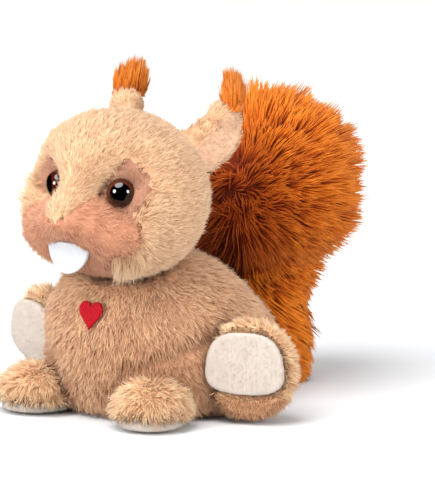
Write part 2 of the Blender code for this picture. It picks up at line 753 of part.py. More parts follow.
# The heart patch, half sunk in the chest
heart_seat = body_form.surface(way_to(HEART_AROUND, HEART_ABOVE), -HEART_THICKNESS / 2)
heart_axes = facing(body_form.out_of(HEART_AROUND, HEART_ABOVE))
place("heart_patch", extruded(heart_outline(HEART_WIDTH), HEART_THICKNESS), HEART, heart_seat, heart_axes)
heart_space = extruded(heart_outline(HEART_WIDTH + 2 * CLEARANCE), 3 * HEART_THICKNESS, -CLEARANCE)
cut(body, guide("heart_room", heart_space, heart_seat, heart_axes))
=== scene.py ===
import math

import bmesh
import bpy
import numpy as np
from mathutils import Matrix, Vector, kdtree, noise
from mathutils.bvhtree import BVHTree


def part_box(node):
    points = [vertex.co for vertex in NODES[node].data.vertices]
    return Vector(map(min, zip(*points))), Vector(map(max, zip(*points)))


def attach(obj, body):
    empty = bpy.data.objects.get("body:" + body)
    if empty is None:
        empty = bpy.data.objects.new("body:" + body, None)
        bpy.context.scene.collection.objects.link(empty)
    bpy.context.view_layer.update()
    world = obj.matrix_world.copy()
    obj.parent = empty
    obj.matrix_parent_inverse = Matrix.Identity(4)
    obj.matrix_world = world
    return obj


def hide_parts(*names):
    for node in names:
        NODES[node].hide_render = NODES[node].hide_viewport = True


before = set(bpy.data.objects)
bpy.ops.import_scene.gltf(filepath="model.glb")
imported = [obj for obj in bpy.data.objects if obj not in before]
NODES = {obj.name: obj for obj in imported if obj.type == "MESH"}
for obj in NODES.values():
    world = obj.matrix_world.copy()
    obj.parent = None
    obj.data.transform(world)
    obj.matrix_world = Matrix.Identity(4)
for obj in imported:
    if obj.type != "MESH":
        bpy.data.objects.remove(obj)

MM = 0.001
UP = Vector((0, 0, 1))
SIDES = ((1, "left"), (-1, "right"))
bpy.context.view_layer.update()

# The photograph's view: 435 by 495 pixels, almost without perspective
PHOTO_HEIGHT_PX = 495
PHOTO_MIDDLE_PX = (217.5, 247.5)
ORIGIN_PX = (166.0, 402.0)
PIXEL = 0.34 * MM
VIEW_AROUND = 40.0
VIEW_ABOVE = 10.0
VIEW_DISTANCE = 3.0
SENSOR_MM = 36.0

around, above = math.radians(VIEW_AROUND), math.radians(VIEW_ABOVE)
VIEW_RIGHT = Vector((math.cos(around), math.sin(around), 0))
VIEW_UP = Vector((-math.sin(around) * math.sin(above), math.cos(around) * math.sin(above), math.cos(above)))
VIEW_BACK = VIEW_RIGHT.cross(VIEW_UP)

# Seams of the face and folds of the body, in the photograph's pixels, on the toy's left half
MUZZLE_SEAM_PX = [
    (57.5, 223.4), (74.2, 213.4), (90.1, 200.6), (106.1, 193.5), (111.6, 201.5), (122.0, 207.8),
    (131.6, 216.6), (140.3, 227.0), (142.4, 239.7), (137.9, 249.3), (130.0, 255.6), (114.0, 255.6),
    (112.4, 268.4), (115.6, 278.0), (112.0, 292.0), (20.0, 292.0), (20.0, 223.4),
]
PATCH_SEAM_PX = [
    (131.6, 159.2), (141.1, 167.1), (150.7, 182.3), (152.8, 193.5), (148.3, 203.8), (141.1, 211.0),
    (131.6, 216.6), (122.0, 207.8), (111.6, 201.5), (106.9, 193.5), (109.3, 182.3), (115.6, 175.9),
    (122.8, 167.2),
]
PATCH_MIDDLE_PX = np.array((122.0, 192.0))
FAR_PATCH_SHRINK = 1.3
CHEEK_TUFT_PX = (126.0, 266.0)
CHEEK_FLUFF_PX = (148.0, 222.0)
THIGH_FOLD_PX = [(206.0, 339.0), (190.0, 349.0), (174.0, 355.0), (156.0, 361.0), (138.0, 367.0), (120.0, 373.0)]

# Pile
FLOOR_GAP = 0.15 * MM
FAR = 0.3
TONE_STEPS = 32
# Where the skin under the pile sits on the root-to-tip colours: dark, as painted shade
SKIN_SHADE = 0.35
STUB = 0.3
PANEL_RAISED = 0.12 * MM
PANEL_BACK = 0.6 * MM

# Safety eyes, on the axis of their washers
EYE_RADIUS = 5.0 * MM
EYE_DOME = 4.4 * MM
EYE_RIM = 1.0 * MM
EYE_TURN = 40.0
EYE_LEVEL = 0.6 * MM
SHANK_RADIUS = 2.3 * MM
SHANK_LENGTH = 9.0 * MM
WASHER_BEHIND = 3.0 * MM
EYE_STEPS = 64
PUPIL_SHARE = 0.76

# Tooth
TOOTH_THICKNESS = 1.4 * MM
TOOTH_POINT = 1.1
TOOTH_ARCH = 1.8 * MM
TOOTH_BEND_RADIUS = 34.0 * MM
TOOTH_STEPS = 40


def srgb(hex_colour):
    """An sRGB hex colour as linear light with full alpha."""
    parts = [int(hex_colour[i : i + 2], 16) / 255 for i in (1, 3, 5)]
    return (*[p / 12.92 if p <= 0.04045 else ((p + 0.055) / 1.055) ** 2.4 for p in parts], 1.0)


def node(tree, kind, inputs=(), **settings):
    """Adds a node with its settings. An input takes a value or another node's output."""
    added = tree.nodes.new(kind)
    for name, value in settings.items():
        setattr(added, name, value)
    for key, value in dict(inputs).items():
        if isinstance(value, bpy.types.NodeSocket):
            tree.links.new(value, added.inputs[key])
        else:
            added.inputs[key].default_value = value
    return added


def ramp(tree, factor, stops):
    """A colour that changes along a factor, from stops of place and hex colour."""
    added = node(tree, "ShaderNodeValToRGB", {"Fac": factor})
    while len(added.color_ramp.elements) < len(stops):
        added.color_ramp.elements.new(0.5)
    for element, (place, colour) in zip(added.color_ramp.elements, stops):
        element.position = place
        element.color = srgb(colour)
    return added.outputs["Color"]


def new_material(name, **sockets):
    material = bpy.data.materials.new(name)
    material.use_nodes = True
    tree = material.node_tree
    shader = tree.nodes["Principled BSDF"]
    for key, value in sockets.items():
        shader.inputs[key.replace("_", " ")].default_value = value
    return material, tree, shader


def pile_material(name, dark, light, sheen=0.06):
    """Polyester pile. Its darkest and lightest strands each have colours from root to tip, darker at the root as
    painted shade deep in the pile.
    """
    material, tree, shader = new_material(name, Roughness=0.85, Sheen_Weight=sheen, Sheen_Roughness=0.6)
    shader.inputs["Specular IOR Level"].default_value = 0.12
    place = node(tree, "ShaderNodeUVMap", uv_map="OFBake").outputs["UV"]
    tone_and_shade = node(tree, "ShaderNodeSeparateXYZ", {"Vector": place})
    shade = tone_and_shade.outputs["Y"]
    colours = {0: tone_and_shade.outputs["X"], 6: ramp(tree, shade, dark), 7: ramp(tree, shade, light)}
    mixed = node(tree, "ShaderNodeMix", colours, data_type="RGBA")
    tree.links.new(mixed.outputs[2], shader.inputs["Base Color"])
    return material


def solid_tree(*names):
    """The surfaces of some CAD nodes, for rays and nearest points."""
    verts, faces = [], []
    for name in names:
        mesh = NODES[name].data
        start = len(verts)
        verts += [vert.co.copy() for vert in mesh.vertices]
        faces += [[start + i for i in face.vertices] for face in mesh.polygons]
    return BVHTree.FromPolygons(verts, faces)


def middle_of(name):
    low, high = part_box(name)
    return (Vector(low) + Vector(high)) / 2


def in_photo(points):
    """Where points show in the photograph, in pixels, each taken on the toy's left side."""
    mirrored = np.column_stack([np.abs(points[:, 0]), points[:, 1:]])
    across = ORIGIN_PX[0] + mirrored @ np.array(VIEW_RIGHT) / PIXEL
    return np.column_stack([across, ORIGIN_PX[1] - mirrored @ np.array(VIEW_UP) / PIXEL])


def inside(outline, places):
    """Which places lie inside a closed outline."""
    found = np.zeros(len(places), bool)
    for (x0, y0), (x1, y1) in zip(outline, outline[1:] + outline[:1]):
        level = (places[:, 1] < y0) != (places[:, 1] < y1)
        if y0 != y1:
            found ^= level & (places[:, 0] < x0 + (places[:, 1] - y0) * (x1 - x0) / (y1 - y0))
    return found


def seen_at(place, tree):
    """The point of a surface that shows at a pixel of the photograph."""
    start = VIEW_RIGHT * (place[0] - ORIGIN_PX[0]) * PIXEL + VIEW_UP * (ORIGIN_PX[1] - place[1]) * PIXEL
    return tree.ray_cast(start + VIEW_BACK * FAR, -VIEW_BACK)[0]


def nearest_of(points, marks):
    """How far each point is from the nearest of some marks."""
    tree = kdtree.KDTree(len(marks))
    for i, mark in enumerate(marks):
        tree.insert(mark, i)
    tree.balance()
    return np.array([tree.find(p)[2] for p in points])


def skin_under(names, centre, depth, fineness=5, smoothing=4, settle=None):
    """A closed skin under the pile: the outermost surface round a centre, smoothed and drawn in."""
    tree = solid_tree(*names)
    bm = bmesh.new()
    bmesh.ops.create_icosphere(bm, subdivisions=fineness, radius=1)
    for vert in bm.verts:
        way = vert.co.normalized()
        hit = tree.ray_cast(centre + way * FAR, -way)[0] or centre
        vert.co = settle(hit) if settle else hit
    return drawn_in(bm, depth, smoothing)


def remeshed(mesh, voxel, depth, smoothing=3):
    """A closed skin of even faces under a mesh of any shape, smoothed and drawn in."""
    carrier = bpy.data.objects.new("remesh_carrier", mesh)
    bpy.context.scene.collection.objects.link(carrier)
    modifier = carrier.modifiers.new("remesh", "REMESH")
    modifier.mode = "VOXEL"
    modifier.voxel_size = voxel
    bm = bmesh.new()
    bm.from_object(carrier, bpy.context.evaluated_depsgraph_get())
    bpy.data.objects.remove(carrier)
    bmesh.ops.triangulate(bm, faces=bm.faces)
    return drawn_in(bm, lambda co: depth, smoothing)


def moved(bm, shift):
    bmesh.ops.translate(bm, vec=shift, verts=bm.verts)
    return bm


def drawn_in(bm, depth, smoothing):
    for i in range(smoothing):
        bmesh.ops.smooth_vert(
            bm, verts=bm.verts, factor=0.5, use_axis_x=True, use_axis_y=True, use_axis_z=True
        )
    bm.normal_update()
    places = [vert.co - vert.normal * depth(vert.co) for vert in bm.verts]
    for vert, co in zip(bm.verts, places):
        vert.co = co
        vert.co.z = max(vert.co.z, FLOOR_GAP)
    bm.normal_update()
    return bm


def sown(bm, spacing, seed):
    """Roots and normals spread evenly over a skin, about one to each square of the spacing."""
    rng = np.random.default_rng(seed)
    corners = np.array([[vert.co for vert in face.verts] for face in bm.faces])
    normals = np.array([[vert.normal for vert in face.verts] for face in bm.faces])
    areas = np.linalg.norm(np.cross(corners[:, 1] - corners[:, 0], corners[:, 2] - corners[:, 0]), axis=1) / 2
    count = int(areas.sum() / spacing**2 * 6)
    face = rng.choice(len(areas), size=count, p=areas / areas.sum())
    first, second = rng.random((2, count, 1))
    over = (first + second) > 1
    first, second = np.where(over, 1 - first, first), np.where(over, 1 - second, second)
    weights = np.stack([1 - first - second, first, second], axis=1)
    points = (corners[face] * weights).sum(axis=1)
    cells = np.floor(points / (spacing * 1.22)).astype(np.int64)
    keep = np.unique(cells, axis=0, return_index=True)[1]
    keep.sort()
    return points[keep], unit((normals[face] * weights).sum(axis=1))[keep]


def unit(vectors):
    return vectors / np.maximum(np.linalg.norm(vectors, axis=1, keepdims=True), 1e-9)


def tangent(vectors, normals):
    """The part of each vector that lies along the surface, one unit long."""
    return unit(vectors - normals * (vectors * normals).sum(axis=1, keepdims=True))


def away_from(pole, points, normals):
    return tangent(points - np.array(pole), normals)


def drift(points, size):
    """A smooth random vector at each point, which changes over about a size."""
    return np.array([noise.noise_vector(Vector(p / size)) for p in points])


def fitted(strands, blockers):
    """Which strands start outside the neighbouring solids, with each cut short where it meets one."""
    roots, ways, lengths = strands[0], strands[1], strands[3]
    keep = np.ones(len(roots), bool)
    for i, (root, way, length) in enumerate(zip(roots, ways, lengths)):
        hit, facing, index, distance = blockers.ray_cast(Vector(root), Vector(way), float(length))
        if hit is not None:
            keep[i] = facing.dot(Vector(way)) < 0 and distance > STUB * length
            lengths[i] = distance
    return [values[keep] for values in strands]


def strand_shape(bends, blunt=False):
    """One closed three-sided strand, a unit long and wide, with an edge ring for each bend."""
    bm = bmesh.new()
    bmesh.ops.create_cone(bm, cap_ends=True, segments=3, radius1=0.5, radius2=0, depth=1)
    bmesh.ops.translate(bm, vec=(0, 0, 0.5), verts=bm.verts)
    bmesh.ops.remove_doubles(bm, verts=bm.verts, dist=1e-5)
    for i in range(1, bends + 1):
        everything = bm.verts[:] + bm.edges[:] + bm.faces[:]
        height = 0.72 if blunt else i / (bends + 1)
        bmesh.ops.bisect_plane(bm, geom=everything, plane_co=(0, 0, height), plane_no=UP)
    for vert in bm.verts:
        if 0 < vert.co.z < 0.99:
            vert.co.xy *= (1 - vert.co.z) ** (-0.85 if blunt else -0.45)
    bmesh.ops.triangulate(bm, faces=bm.faces)
    bmesh.ops.recalc_face_normals(bm, faces=bm.faces)
    points = np.array([vert.co for vert in bm.verts])
    faces = np.array([[vert.index for vert in face.verts] for face in bm.faces])
    bm.free()
    return points, faces


def planted(name, skin, strands, material, bends=0, softness=0.6, blunt=False, dark=None):
    """A piece of a skin and its strands: roots, ways, bows, lengths, widths and tones."""
    roots, ways, bows, lengths, widths, tones, uprights = strands
    points, faces = strand_shape(bends, blunt)
    rng = np.random.default_rng(len(name))
    side = unit(np.cross(ways, rng.normal(size=ways.shape)))
    other = np.cross(ways, side)
    x, y, z = (points[None, :, i, None] for i in range(3))
    verts = (
        roots[:, None]
        + (side[:, None] * x + other[:, None] * y) * widths[:, None, None]
        + ways[:, None] * z * lengths[:, None, None]
        + bows[:, None] * z**2
    ).reshape(-1, 3)
    verts[:, 2] = np.maximum(verts[:, 2], FLOOR_GAP)
    spokes = side[:, None] * x + other[:, None] * y + ways[:, None] * z * 0.3
    shading = unit((uprights[:, None] * softness + spokes * (1 - softness) * 2).reshape(-1, 3))
    indices = (faces[None] + np.arange(len(roots))[:, None, None] * len(points)).reshape(-1, 3)
    tone = np.floor(np.clip(tones, 0, 0.999) * TONE_STEPS) / TONE_STEPS
    across = (0.5 + 0.6 * points[faces][:, :, 0] + 0.3 * points[faces][:, :, 1]) / TONE_STEPS
    along = np.clip(points[faces][:, :, 2] + 0.04 * (0.5 + points[faces][:, :, 1]), 0, 1)
    u = (tone[:, None, None] + across[None]).reshape(-1)
    v = np.broadcast_to(along[None], (len(roots), *along.shape)).reshape(-1)
    if skin is not None:
        skin.verts.index_update()
        skin_verts = np.array([vert.co for vert in skin.verts])
        skin_faces = np.array([[vert.index for vert in face.verts] for face in skin.faces])
        middles = skin_verts[skin_faces].mean(axis=1)
        # dark gives each skin face a share of painted shade from 0 to 1, for folds, seams and the tail's hub, which
        # darkens the skin's colour
        painted_shade = dark(middles) if dark else np.zeros(len(middles))
        skin_tone = (0.5 + 0.4 * drift(middles, 5 * MM)[:, 0]) * (1 - painted_shade)
        corner_u = np.array([0.1, 0.9, 0.5]) / TONE_STEPS
        skin_u = np.floor(np.clip(skin_tone, 0, 0.999) * TONE_STEPS)[:, None] / TONE_STEPS + corner_u
        skin_v = SKIN_SHADE * (1 - painted_shade)[:, None] + np.array([0.01, 0.01, 0.03])
        indices = np.concatenate([indices, skin_faces + len(verts)])
        verts = np.concatenate([verts, skin_verts])
        shading = np.concatenate([shading, np.array([vert.normal for vert in skin.verts])])
        u, v = np.concatenate([u, skin_u.reshape(-1)]), np.concatenate([v, skin_v.reshape(-1)])
    mesh = bpy.data.meshes.new(name)
    mesh.vertices.add(len(verts))
    mesh.vertices.foreach_set("co", verts.reshape(-1).astype(np.float32))
    mesh.loops.add(indices.size)
    mesh.loops.foreach_set("vertex_index", indices.reshape(-1).astype(np.int32))
    mesh.polygons.add(len(indices))
    mesh.polygons.foreach_set("loop_start", np.arange(0, indices.size, 3, dtype=np.int32))
    mesh.update(calc_edges=True)
    mesh.shade_smooth()
    mesh.normals_split_custom_set_from_vertices(shading.tolist())
    mesh.uv_layers.new(name="OFBake")
    mesh.uv_layers["OFBake"].data.foreach_set("uv", np.stack([u, v], axis=1).reshape(-1).astype(np.float32))
    mesh.materials.append(material)
    piece = bpy.data.objects.new(name, mesh)
    bpy.context.scene.collection.objects.link(piece)
    return piece


def clumps(points, size):
    """The number of each point's clump, and how many there are. Clumps are uneven in shape."""
    cells = np.floor((points + drift(points, size * 1.5) * size * 0.6) / size).astype(np.int64)
    found, group = np.unique(cells, axis=0, return_inverse=True)
    return group.reshape(-1), len(found)


def mean_of(values, group, count):
    """Each clump's mean, given back to its members."""
    sums = np.zeros((count, 3))
    np.add.at(sums, group, values)
    return (sums / np.bincount(group, minlength=count)[:, None])[group]


def backed(bm, raised, thickness):
    """Raises an open skin a little and closes it with a back at an even distance."""
    bm.normal_update()
    front = {vert: vert.normal.copy() for vert in bm.verts}
    back = bmesh.ops.extrude_face_region(bm, geom=bm.faces[:], use_keep_orig=True)["geom"]
    for vert in [element for element in back if isinstance(element, bmesh.types.BMVert)]:
        vert.co += vert.normal * raised
    for vert, normal in front.items():
        vert.co += normal * (raised - thickness)
    bmesh.ops.triangulate(bm, faces=bm.faces)
    bmesh.ops.recalc_face_normals(bm, faces=bm.faces)
    return bm


class Pile:
    """How a fabric's pile stands: its spacing, length, width and lean, and how it clumps."""

    def __init__(self, spacing, length, width, lean, clump, gather=0.35, swirl=0.22, mess=0.12, bends=0):
        self.spacing, self.length, self.width, self.lean = spacing, length, width, lean
        self.clump, self.gather, self.swirl, self.mess, self.bends = clump, gather, swirl, mess, bends

    def strands(self, roots, normals, comb, seed, tone=0.0, longer=1.0, leaning=0.0):
        """Strands at the roots, combed along a direction and drawn together at the clumps' tips."""
        rng = np.random.default_rng(seed)
        group, count = clumps(roots, self.clump)
        wave = drift(roots, self.clump * 3)
        lean = np.radians(np.broadcast_to(self.lean + leaning, len(roots)))[:, None]
        ways = normals * np.cos(lean) + comb * np.sin(lean)
        ways = ways + wave * self.swirl + rng.normal(size=(count, 3))[group] * self.swirl * 0.6
        ways = unit(ways + rng.normal(size=roots.shape) * self.mess)
        under = (ways * normals).sum(axis=1, keepdims=True)
        ways = unit(ways + normals * np.maximum(0.12 - under, 0))
        uneven = 1 + 0.12 * rng.normal(size=count)[group] + 0.10 * rng.normal(size=len(roots))
        lengths = self.length * uneven.clip(0.6, 1.4) * longer
        tips = roots + ways * lengths[:, None]
        tips += (mean_of(tips, group, count) - tips) * self.gather
        ways, lengths = unit(tips - roots), np.linalg.norm(tips - roots, axis=1)
        widths = self.width * rng.uniform(0.75, 1.25, len(roots))
        tones = 0.5 + 0.3 * wave[:, 0] + 0.16 * rng.normal(size=count)[group]
        tones = tones + 0.14 * rng.normal(size=len(roots)) + tone
        bows = (comb - normals) * (0.12 * self.bends * lengths)[:, None]
        return [roots - normals * 0.3 * MM, ways, bows, lengths, widths, tones, normals]


def finish_piece(piece, *nodes, slot=None, fill=None):
    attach(piece, "root")
    if nodes:
        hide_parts(*nodes)


def covered(name, cad_node, skin, pile, comb, material, slot, neighbours, seed, where=None, shape=None, softness=0.6, blunt=False, dark=None):
    """A stuffed piece of one fabric: its skin and the pile combed over it."""
    roots, normals = sown(skin, pile.spacing, seed)
    if where:
        keep = where(roots)
        roots, normals = roots[keep], normals[keep]
    more = shape(roots, normals) if shape else {}
    strands = pile.strands(roots, normals, comb(roots, normals), seed, **more)
    strands = fitted(strands, solid_tree(*neighbours))
    piece = planted(name, skin, strands, material, pile.bends, softness, blunt, dark)
    skin.free()
    finish_piece(piece, cad_node, slot=slot, fill=0.9)
    print(name, len(piece.data.polygons))
    return piece


# Fabrics, each from root to tip: the darkest strands, then the lightest; the darker roots are painted shade deep in
# the pile
COAT = pile_material(
    "tan_polyester_plush",
    [(0.0, "#7E4E38"), (0.5, "#B88666"), (1.0, "#CA9C7C")],
    [(0.0, "#B4825E"), (0.5, "#DAAC84"), (1.0, "#F0CAA4")],
)
FACE = pile_material(
    "beige_polyester_plush",
    [(0.0, "#6E4630"), (0.5, "#BE9270"), (1.0, "#D6AE8A")],
    [(0.0, "#C8986E"), (0.5, "#E1BB94"), (1.0, "#EECFAC")],
)
MUZZLE = pile_material(
    "pink_tan_polyester_plush",
    [(0.0, "#5E3426"), (0.5, "#A86E54"), (1.0, "#C0886C")],
    [(0.0, "#B07456"), (0.5, "#CA9272"), (1.0, "#DCAA88")],
)
EYE_PATCH = pile_material(
    "dusty_pink_short_plush",
    [(0.0, "#503024"), (0.5, "#9A6852"), (1.0, "#B08068")],
    [(0.0, "#966852"), (0.5, "#BC8E74"), (1.0, "#CCA086")],
)
PAW = pile_material(
    "golden_polyester_plush",
    [(0.0, "#8E5C40"), (0.5, "#BE8A64"), (1.0, "#D0A47E")],
    [(0.0, "#CA966C"), (0.5, "#F0CA9E"), (1.0, "#FCE4C0")],
)
EAR_LINING = pile_material(
    "pinkish_short_plush",
    [(0.0, "#AC8064"), (0.5, "#C69E80"), (1.0, "#D2AE92")],
    [(0.0, "#BC8E70"), (0.5, "#D8B294"), (1.0, "#E6C6AA")],
)
LONG_RUST = pile_material(
    "rust_long_polyester_pile",
    [(0.0, "#4A1202"), (0.35, "#842C04"), (0.75, "#A84806"), (1.0, "#BA5C12")],
    [(0.0, "#6A2004"), (0.35, "#B04C08"), (0.75, "#D47014"), (1.0, "#E68E34")],
)
LONG_ORANGE = pile_material(
    "orange_long_polyester_pile",
    [(0.0, "#8A3A0C"), (0.4, "#BC6014"), (1.0, "#CC7424")],
    [(0.0, "#A04A12"), (0.4, "#CC7622"), (1.0, "#E09A50")],
)
VELOUR = pile_material(
    "ivory_brushed_velour",
    [(0.0, "#A0948A"), (0.5, "#B4A89C"), (1.0, "#BEB2A8")],
    [(0.0, "#B0A49A"), (0.5, "#C4B8AE"), (1.0, "#D2C8BE")],
)

# The body, combed down from the neck
body_centre = middle_of("body")
head_centre = middle_of("head")
neck = Vector((0, head_centre.y + 6 * MM, head_centre.z - 10 * MM))
LIMBS = [part + hand for part in ("paw_", "paw_pad_", "foot_", "foot_sole_") for side, hand in SIDES]
body_tree = solid_tree("body")
neck_tree = solid_tree("head", "muzzle")
fold_ends = [seen_at(place, body_tree) for place in THIGH_FOLD_PX]
THIGH_FOLD = [a.lerp(b, i / 6) for a, b in zip(fold_ends, fold_ends[1:]) for i in range(6)]
FOLD_DEPTH = 2.6 * MM
NECK_DEPTH = 0.2 * MM


def from_fold(points):
    """How far each point is from the fold between the belly and a thigh."""
    return nearest_of(np.column_stack([np.abs(points[:, 0]), points[:, 1:]]), THIGH_FOLD)


def body_depth(co):
    apart = from_fold(np.array([co]))[0]
    by_head = math.exp(-((neck_tree.find_nearest(co)[3] / (3 * MM)) ** 2))
    return 1.2 * MM * (1 - by_head) + NECK_DEPTH * by_head + FOLD_DEPTH * math.exp(-((apart / (2.6 * MM)) ** 2))


def body_comb(points, normals):
    """Down from the neck, and away from the fold on both of its sides."""
    down = away_from(neck, points, normals)
    left = np.column_stack([np.abs(points[:, 0]), points[:, 1:]])
    height = in_photo(points)[:, 1] - np.interp(
        in_photo(points)[:, 0], [x for x, y in THIGH_FOLD_PX[::-1]], [y for x, y in THIGH_FOLD_PX[::-1]]
    )
    by_fold = np.exp(-((from_fold(points) / (4 * MM)) ** 2))
    return tangent(down * (1 - by_fold * (height < 0) * 1.2)[:, None], normals)


def body_shape(points, normals):
    """Darker in the fold and over the thighs just below it, as painted shade in the crease."""
    by_fold = np.exp(-((from_fold(points) / (2.4 * MM)) ** 2))
    places = in_photo(points)
    below = places[:, 1] - np.interp(
        places[:, 0], [x for x, y in THIGH_FOLD_PX[::-1]], [y for x, y in THIGH_FOLD_PX[::-1]]
    )
    thigh = np.clip(below / 6, 0, 1) * (from_fold(points) < 14 * MM)
    patches = 0.22 * drift(points, 9 * MM)[:, 0]
    return {"tone": patches - 0.9 * by_fold - 0.45 * thigh, "longer": 1 - 0.3 * by_fold}


covered(
    "body_coat",
    "body",
    skin_under(["body"], body_centre, body_depth, fineness=5, smoothing=2),
    Pile(0.56 * MM, 3.8 * MM, 0.42 * MM, lean=55, clump=1.7 * MM, gather=0.42, swirl=0.26, mess=0.14),
    body_comb,
    COAT,
    "tan_plush",
    ["head", "muzzle", "tail", "heart_patch"] + LIMBS,
    11,
    where=lambda p: p[:, 2] > 1.0 * MM,
    shape=body_shape,
    # Painted shade: the skin darkens in the fold between the belly and each thigh
    dark=lambda p: np.exp(-((from_fold(p) / (3 * MM)) ** 2)),
)

# The head: one skin under the face, the muzzle and the eye patches
FACE_NODES = ["head", "muzzle", "eye_patch_left", "eye_patch_right"]
FACE_SPACING = 0.45 * MM
SEAM_DEPTH = 1.4 * MM
BROW_FULL = 2.2 * MM
FINE_BAND = 1.5 * MM
face_trees = [solid_tree(name) for name in FACE_NODES]
face_depths = [1.1 * MM, 0.9 * MM, 0.7 * MM, 0.7 * MM]
muzzle_low, muzzle_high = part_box("muzzle")
head_tree = solid_tree("head", "muzzle")
bridge_tip = seen_at(MUZZLE_SEAM_PX[0], head_tree)
bridge_tip.x = 0
cheek_tuft = seen_at(CHEEK_TUFT_PX, head_tree)
cheek_fluff = seen_at(CHEEK_FLUFF_PX, head_tree)


def fabric_at(points):
    """Which of the head's fabrics covers each point: by the seams where they show, else by the solids."""
    left = np.column_stack([np.abs(points[:, 0]), points[:, 1:]]) - np.array(head_centre)
    seen = unit(left) @ np.array(VIEW_BACK) > 0.05
    found = np.array([[tree.find_nearest(Vector(p))[3] for tree in face_trees] for p in points]).argmin(axis=1)
    places = in_photo(points)
    found[seen] = 0
    found[seen & inside(MUZZLE_SEAM_PX, places)] = 1
    hidden = points[:, 0] < 0
    places[hidden] = PATCH_MIDDLE_PX + (places[hidden] - PATCH_MIDDLE_PX) * FAR_PATCH_SHRINK
    patch = seen & inside(PATCH_SEAM_PX, places)
    found[patch] = np.where(points[patch, 0] > 0, 2, 3)
    return found


def fabric_and_seam(points):
    """Which fabric covers each point, and how far off the nearest point of another fabric is."""
    fabric = fabric_at(points)
    seam = np.zeros(len(points))
    for which in range(4):
        seam[fabric == which] = nearest_of(points[fabric == which], points[fabric != which])
    return fabric, seam


def near(points, mark, size):
    """How close each point is to a mark or to its mirror image, from 0 to 1."""
    left = np.column_stack([np.abs(points[:, 0]), points[:, 1:]])
    return np.exp(-((np.linalg.norm(left - np.array(mark), axis=1) / size) ** 2))


def face_comb(points, normals):
    """Away from the tip of the nose over the whole head, and hanging down at the tufts under the cheeks."""
    hanging = near(points, cheek_tuft, 8 * MM)[:, None] * (points[:, :1] > 0)
    back = away_from(bridge_tip, points, normals)
    down = tangent(np.broadcast_to((0, -0.3, -1), points.shape), normals)
    return tangent(back * (1 - hanging) + down * hanging * 1.5, normals)


def eye_place(side, hand):
    """Where an eye's flat back is, and the way the eye looks."""
    look = Vector((math.sin(math.radians(side * EYE_TURN)), -math.cos(math.radians(EYE_TURN)), 0))
    return middle_of("eye_washer_" + hand) + look * WASHER_BEHIND, look


def behind_eyes(co):
    """A point on an eye is moved back to the fabric that the eye sits on."""
    for side, hand in SIDES:
        seat, look = eye_place(side, hand)
        height = (co - seat).dot(look)
        if height > -3 * MM and (co - seat - look * height).length < EYE_RADIUS + 0.6 * MM:
            return co - look * (height - EYE_LEVEL)
    return co


def by_brow(points):
    """How close each point is to the full flank of the bridge beside an eye, from 0 to 1."""
    found = np.zeros(len(points))
    for side, hand in SIDES:
        seat, look = eye_place(side, hand)
        apart = points - np.array(seat)
        inward = apart @ np.array(look.cross(UP) * -side)
        found += np.exp(-(((inward - 8 * MM) / (3.5 * MM)) ** 2) - ((apart[:, 2] + 2 * MM) / (6 * MM)) ** 2)
    return found


def from_eyes(points):
    """How far each point is from the nearer eye's axis."""
    found = []
    for side, hand in SIDES:
        seat, look = eye_place(side, hand)
        apart = points - np.array(seat)
        found.append(np.linalg.norm(apart - np.outer(apart @ np.array(look), np.array(look)), axis=1))
    return np.min(found, axis=0)


face_shell = FACE_NODES + ["eye_left", "eye_right"]
head_skin = skin_under(face_shell, head_centre, lambda co: 0.0, smoothing=3, settle=behind_eyes)
fabric, seam = fabric_and_seam(np.array([vert.co for vert in head_skin.verts]))
by_seams = {vert for vert, apart in zip(head_skin.verts, seam) if apart < FINE_BAND}
fine = [edge for edge in head_skin.edges if all(vert in by_seams for vert in edge.verts)]
bmesh.ops.subdivide_edges(head_skin, edges=fine, cuts=2, use_grid_fill=True)
bmesh.ops.triangulate(head_skin, faces=head_skin.faces)
head_skin.normal_update()
places = np.array([vert.co for vert in head_skin.verts])
fabric, seam = fabric_and_seam(places)
for vert, which, apart, full in zip(head_skin.verts, fabric, seam, by_brow(places)):
    groove = SEAM_DEPTH * math.exp(-((apart / (1.3 * MM)) ** 2))
    vert.co -= vert.normal * (face_depths[which] + groove - BROW_FULL * full)
head_skin.normal_update()
roots, normals = sown(head_skin, FACE_SPACING, 21)
seen = (from_eyes(roots) > EYE_RADIUS - 0.2 * MM) | (roots[:, 1] > head_centre.y)
roots, normals = roots[seen], normals[seen]
fabric, seam = fabric_and_seam(roots)
# Strands darken towards the seams: painted shade in the seam grooves
seam_painted_shade = -0.9 * np.exp(-((seam / (0.9 * MM)) ** 2))
by_seam = np.exp(-((seam / (1.6 * MM)) ** 2))
comb = face_comb(roots, normals)
above_nose = bridge_tip + UP * 5 * MM
comb[fabric == 1] = away_from(above_nose, roots, normals)[fabric == 1]
tufty = near(roots, cheek_tuft, 6 * MM) * (roots[:, 0] > 0)
fluffy = near(roots, cheek_fluff, 8 * MM) + near(roots, bridge_tip, 6 * MM)
by_eye = np.exp(-((from_eyes(roots) / (9 * MM)) ** 2)) * (roots[:, 1] < head_centre.y)
brow = by_brow(roots)
blockers = solid_tree("eye_left", "eye_right", "tooth")
SHORT = Pile(FACE_SPACING, 1.5 * MM, 0.36 * MM, lean=50, clump=1.1 * MM)
FACE_PIECES = [
    ("head_plush", "head", Pile(FACE_SPACING, 3.1 * MM, 0.36 * MM, lean=62, clump=1.2 * MM, gather=0.25), FACE, "beige_plush"),
    ("muzzle_plush", "muzzle", Pile(FACE_SPACING, 2.5 * MM, 0.34 * MM, lean=56, clump=1.1 * MM, gather=0.25), MUZZLE, "pink_tan_plush"),
    ("eye_patch_plush_left", "eye_patch_left", SHORT, EYE_PATCH, "dusty_pink_plush"),
    ("eye_patch_plush_right", "eye_patch_right", SHORT, EYE_PATCH, "dusty_pink_plush"),
]


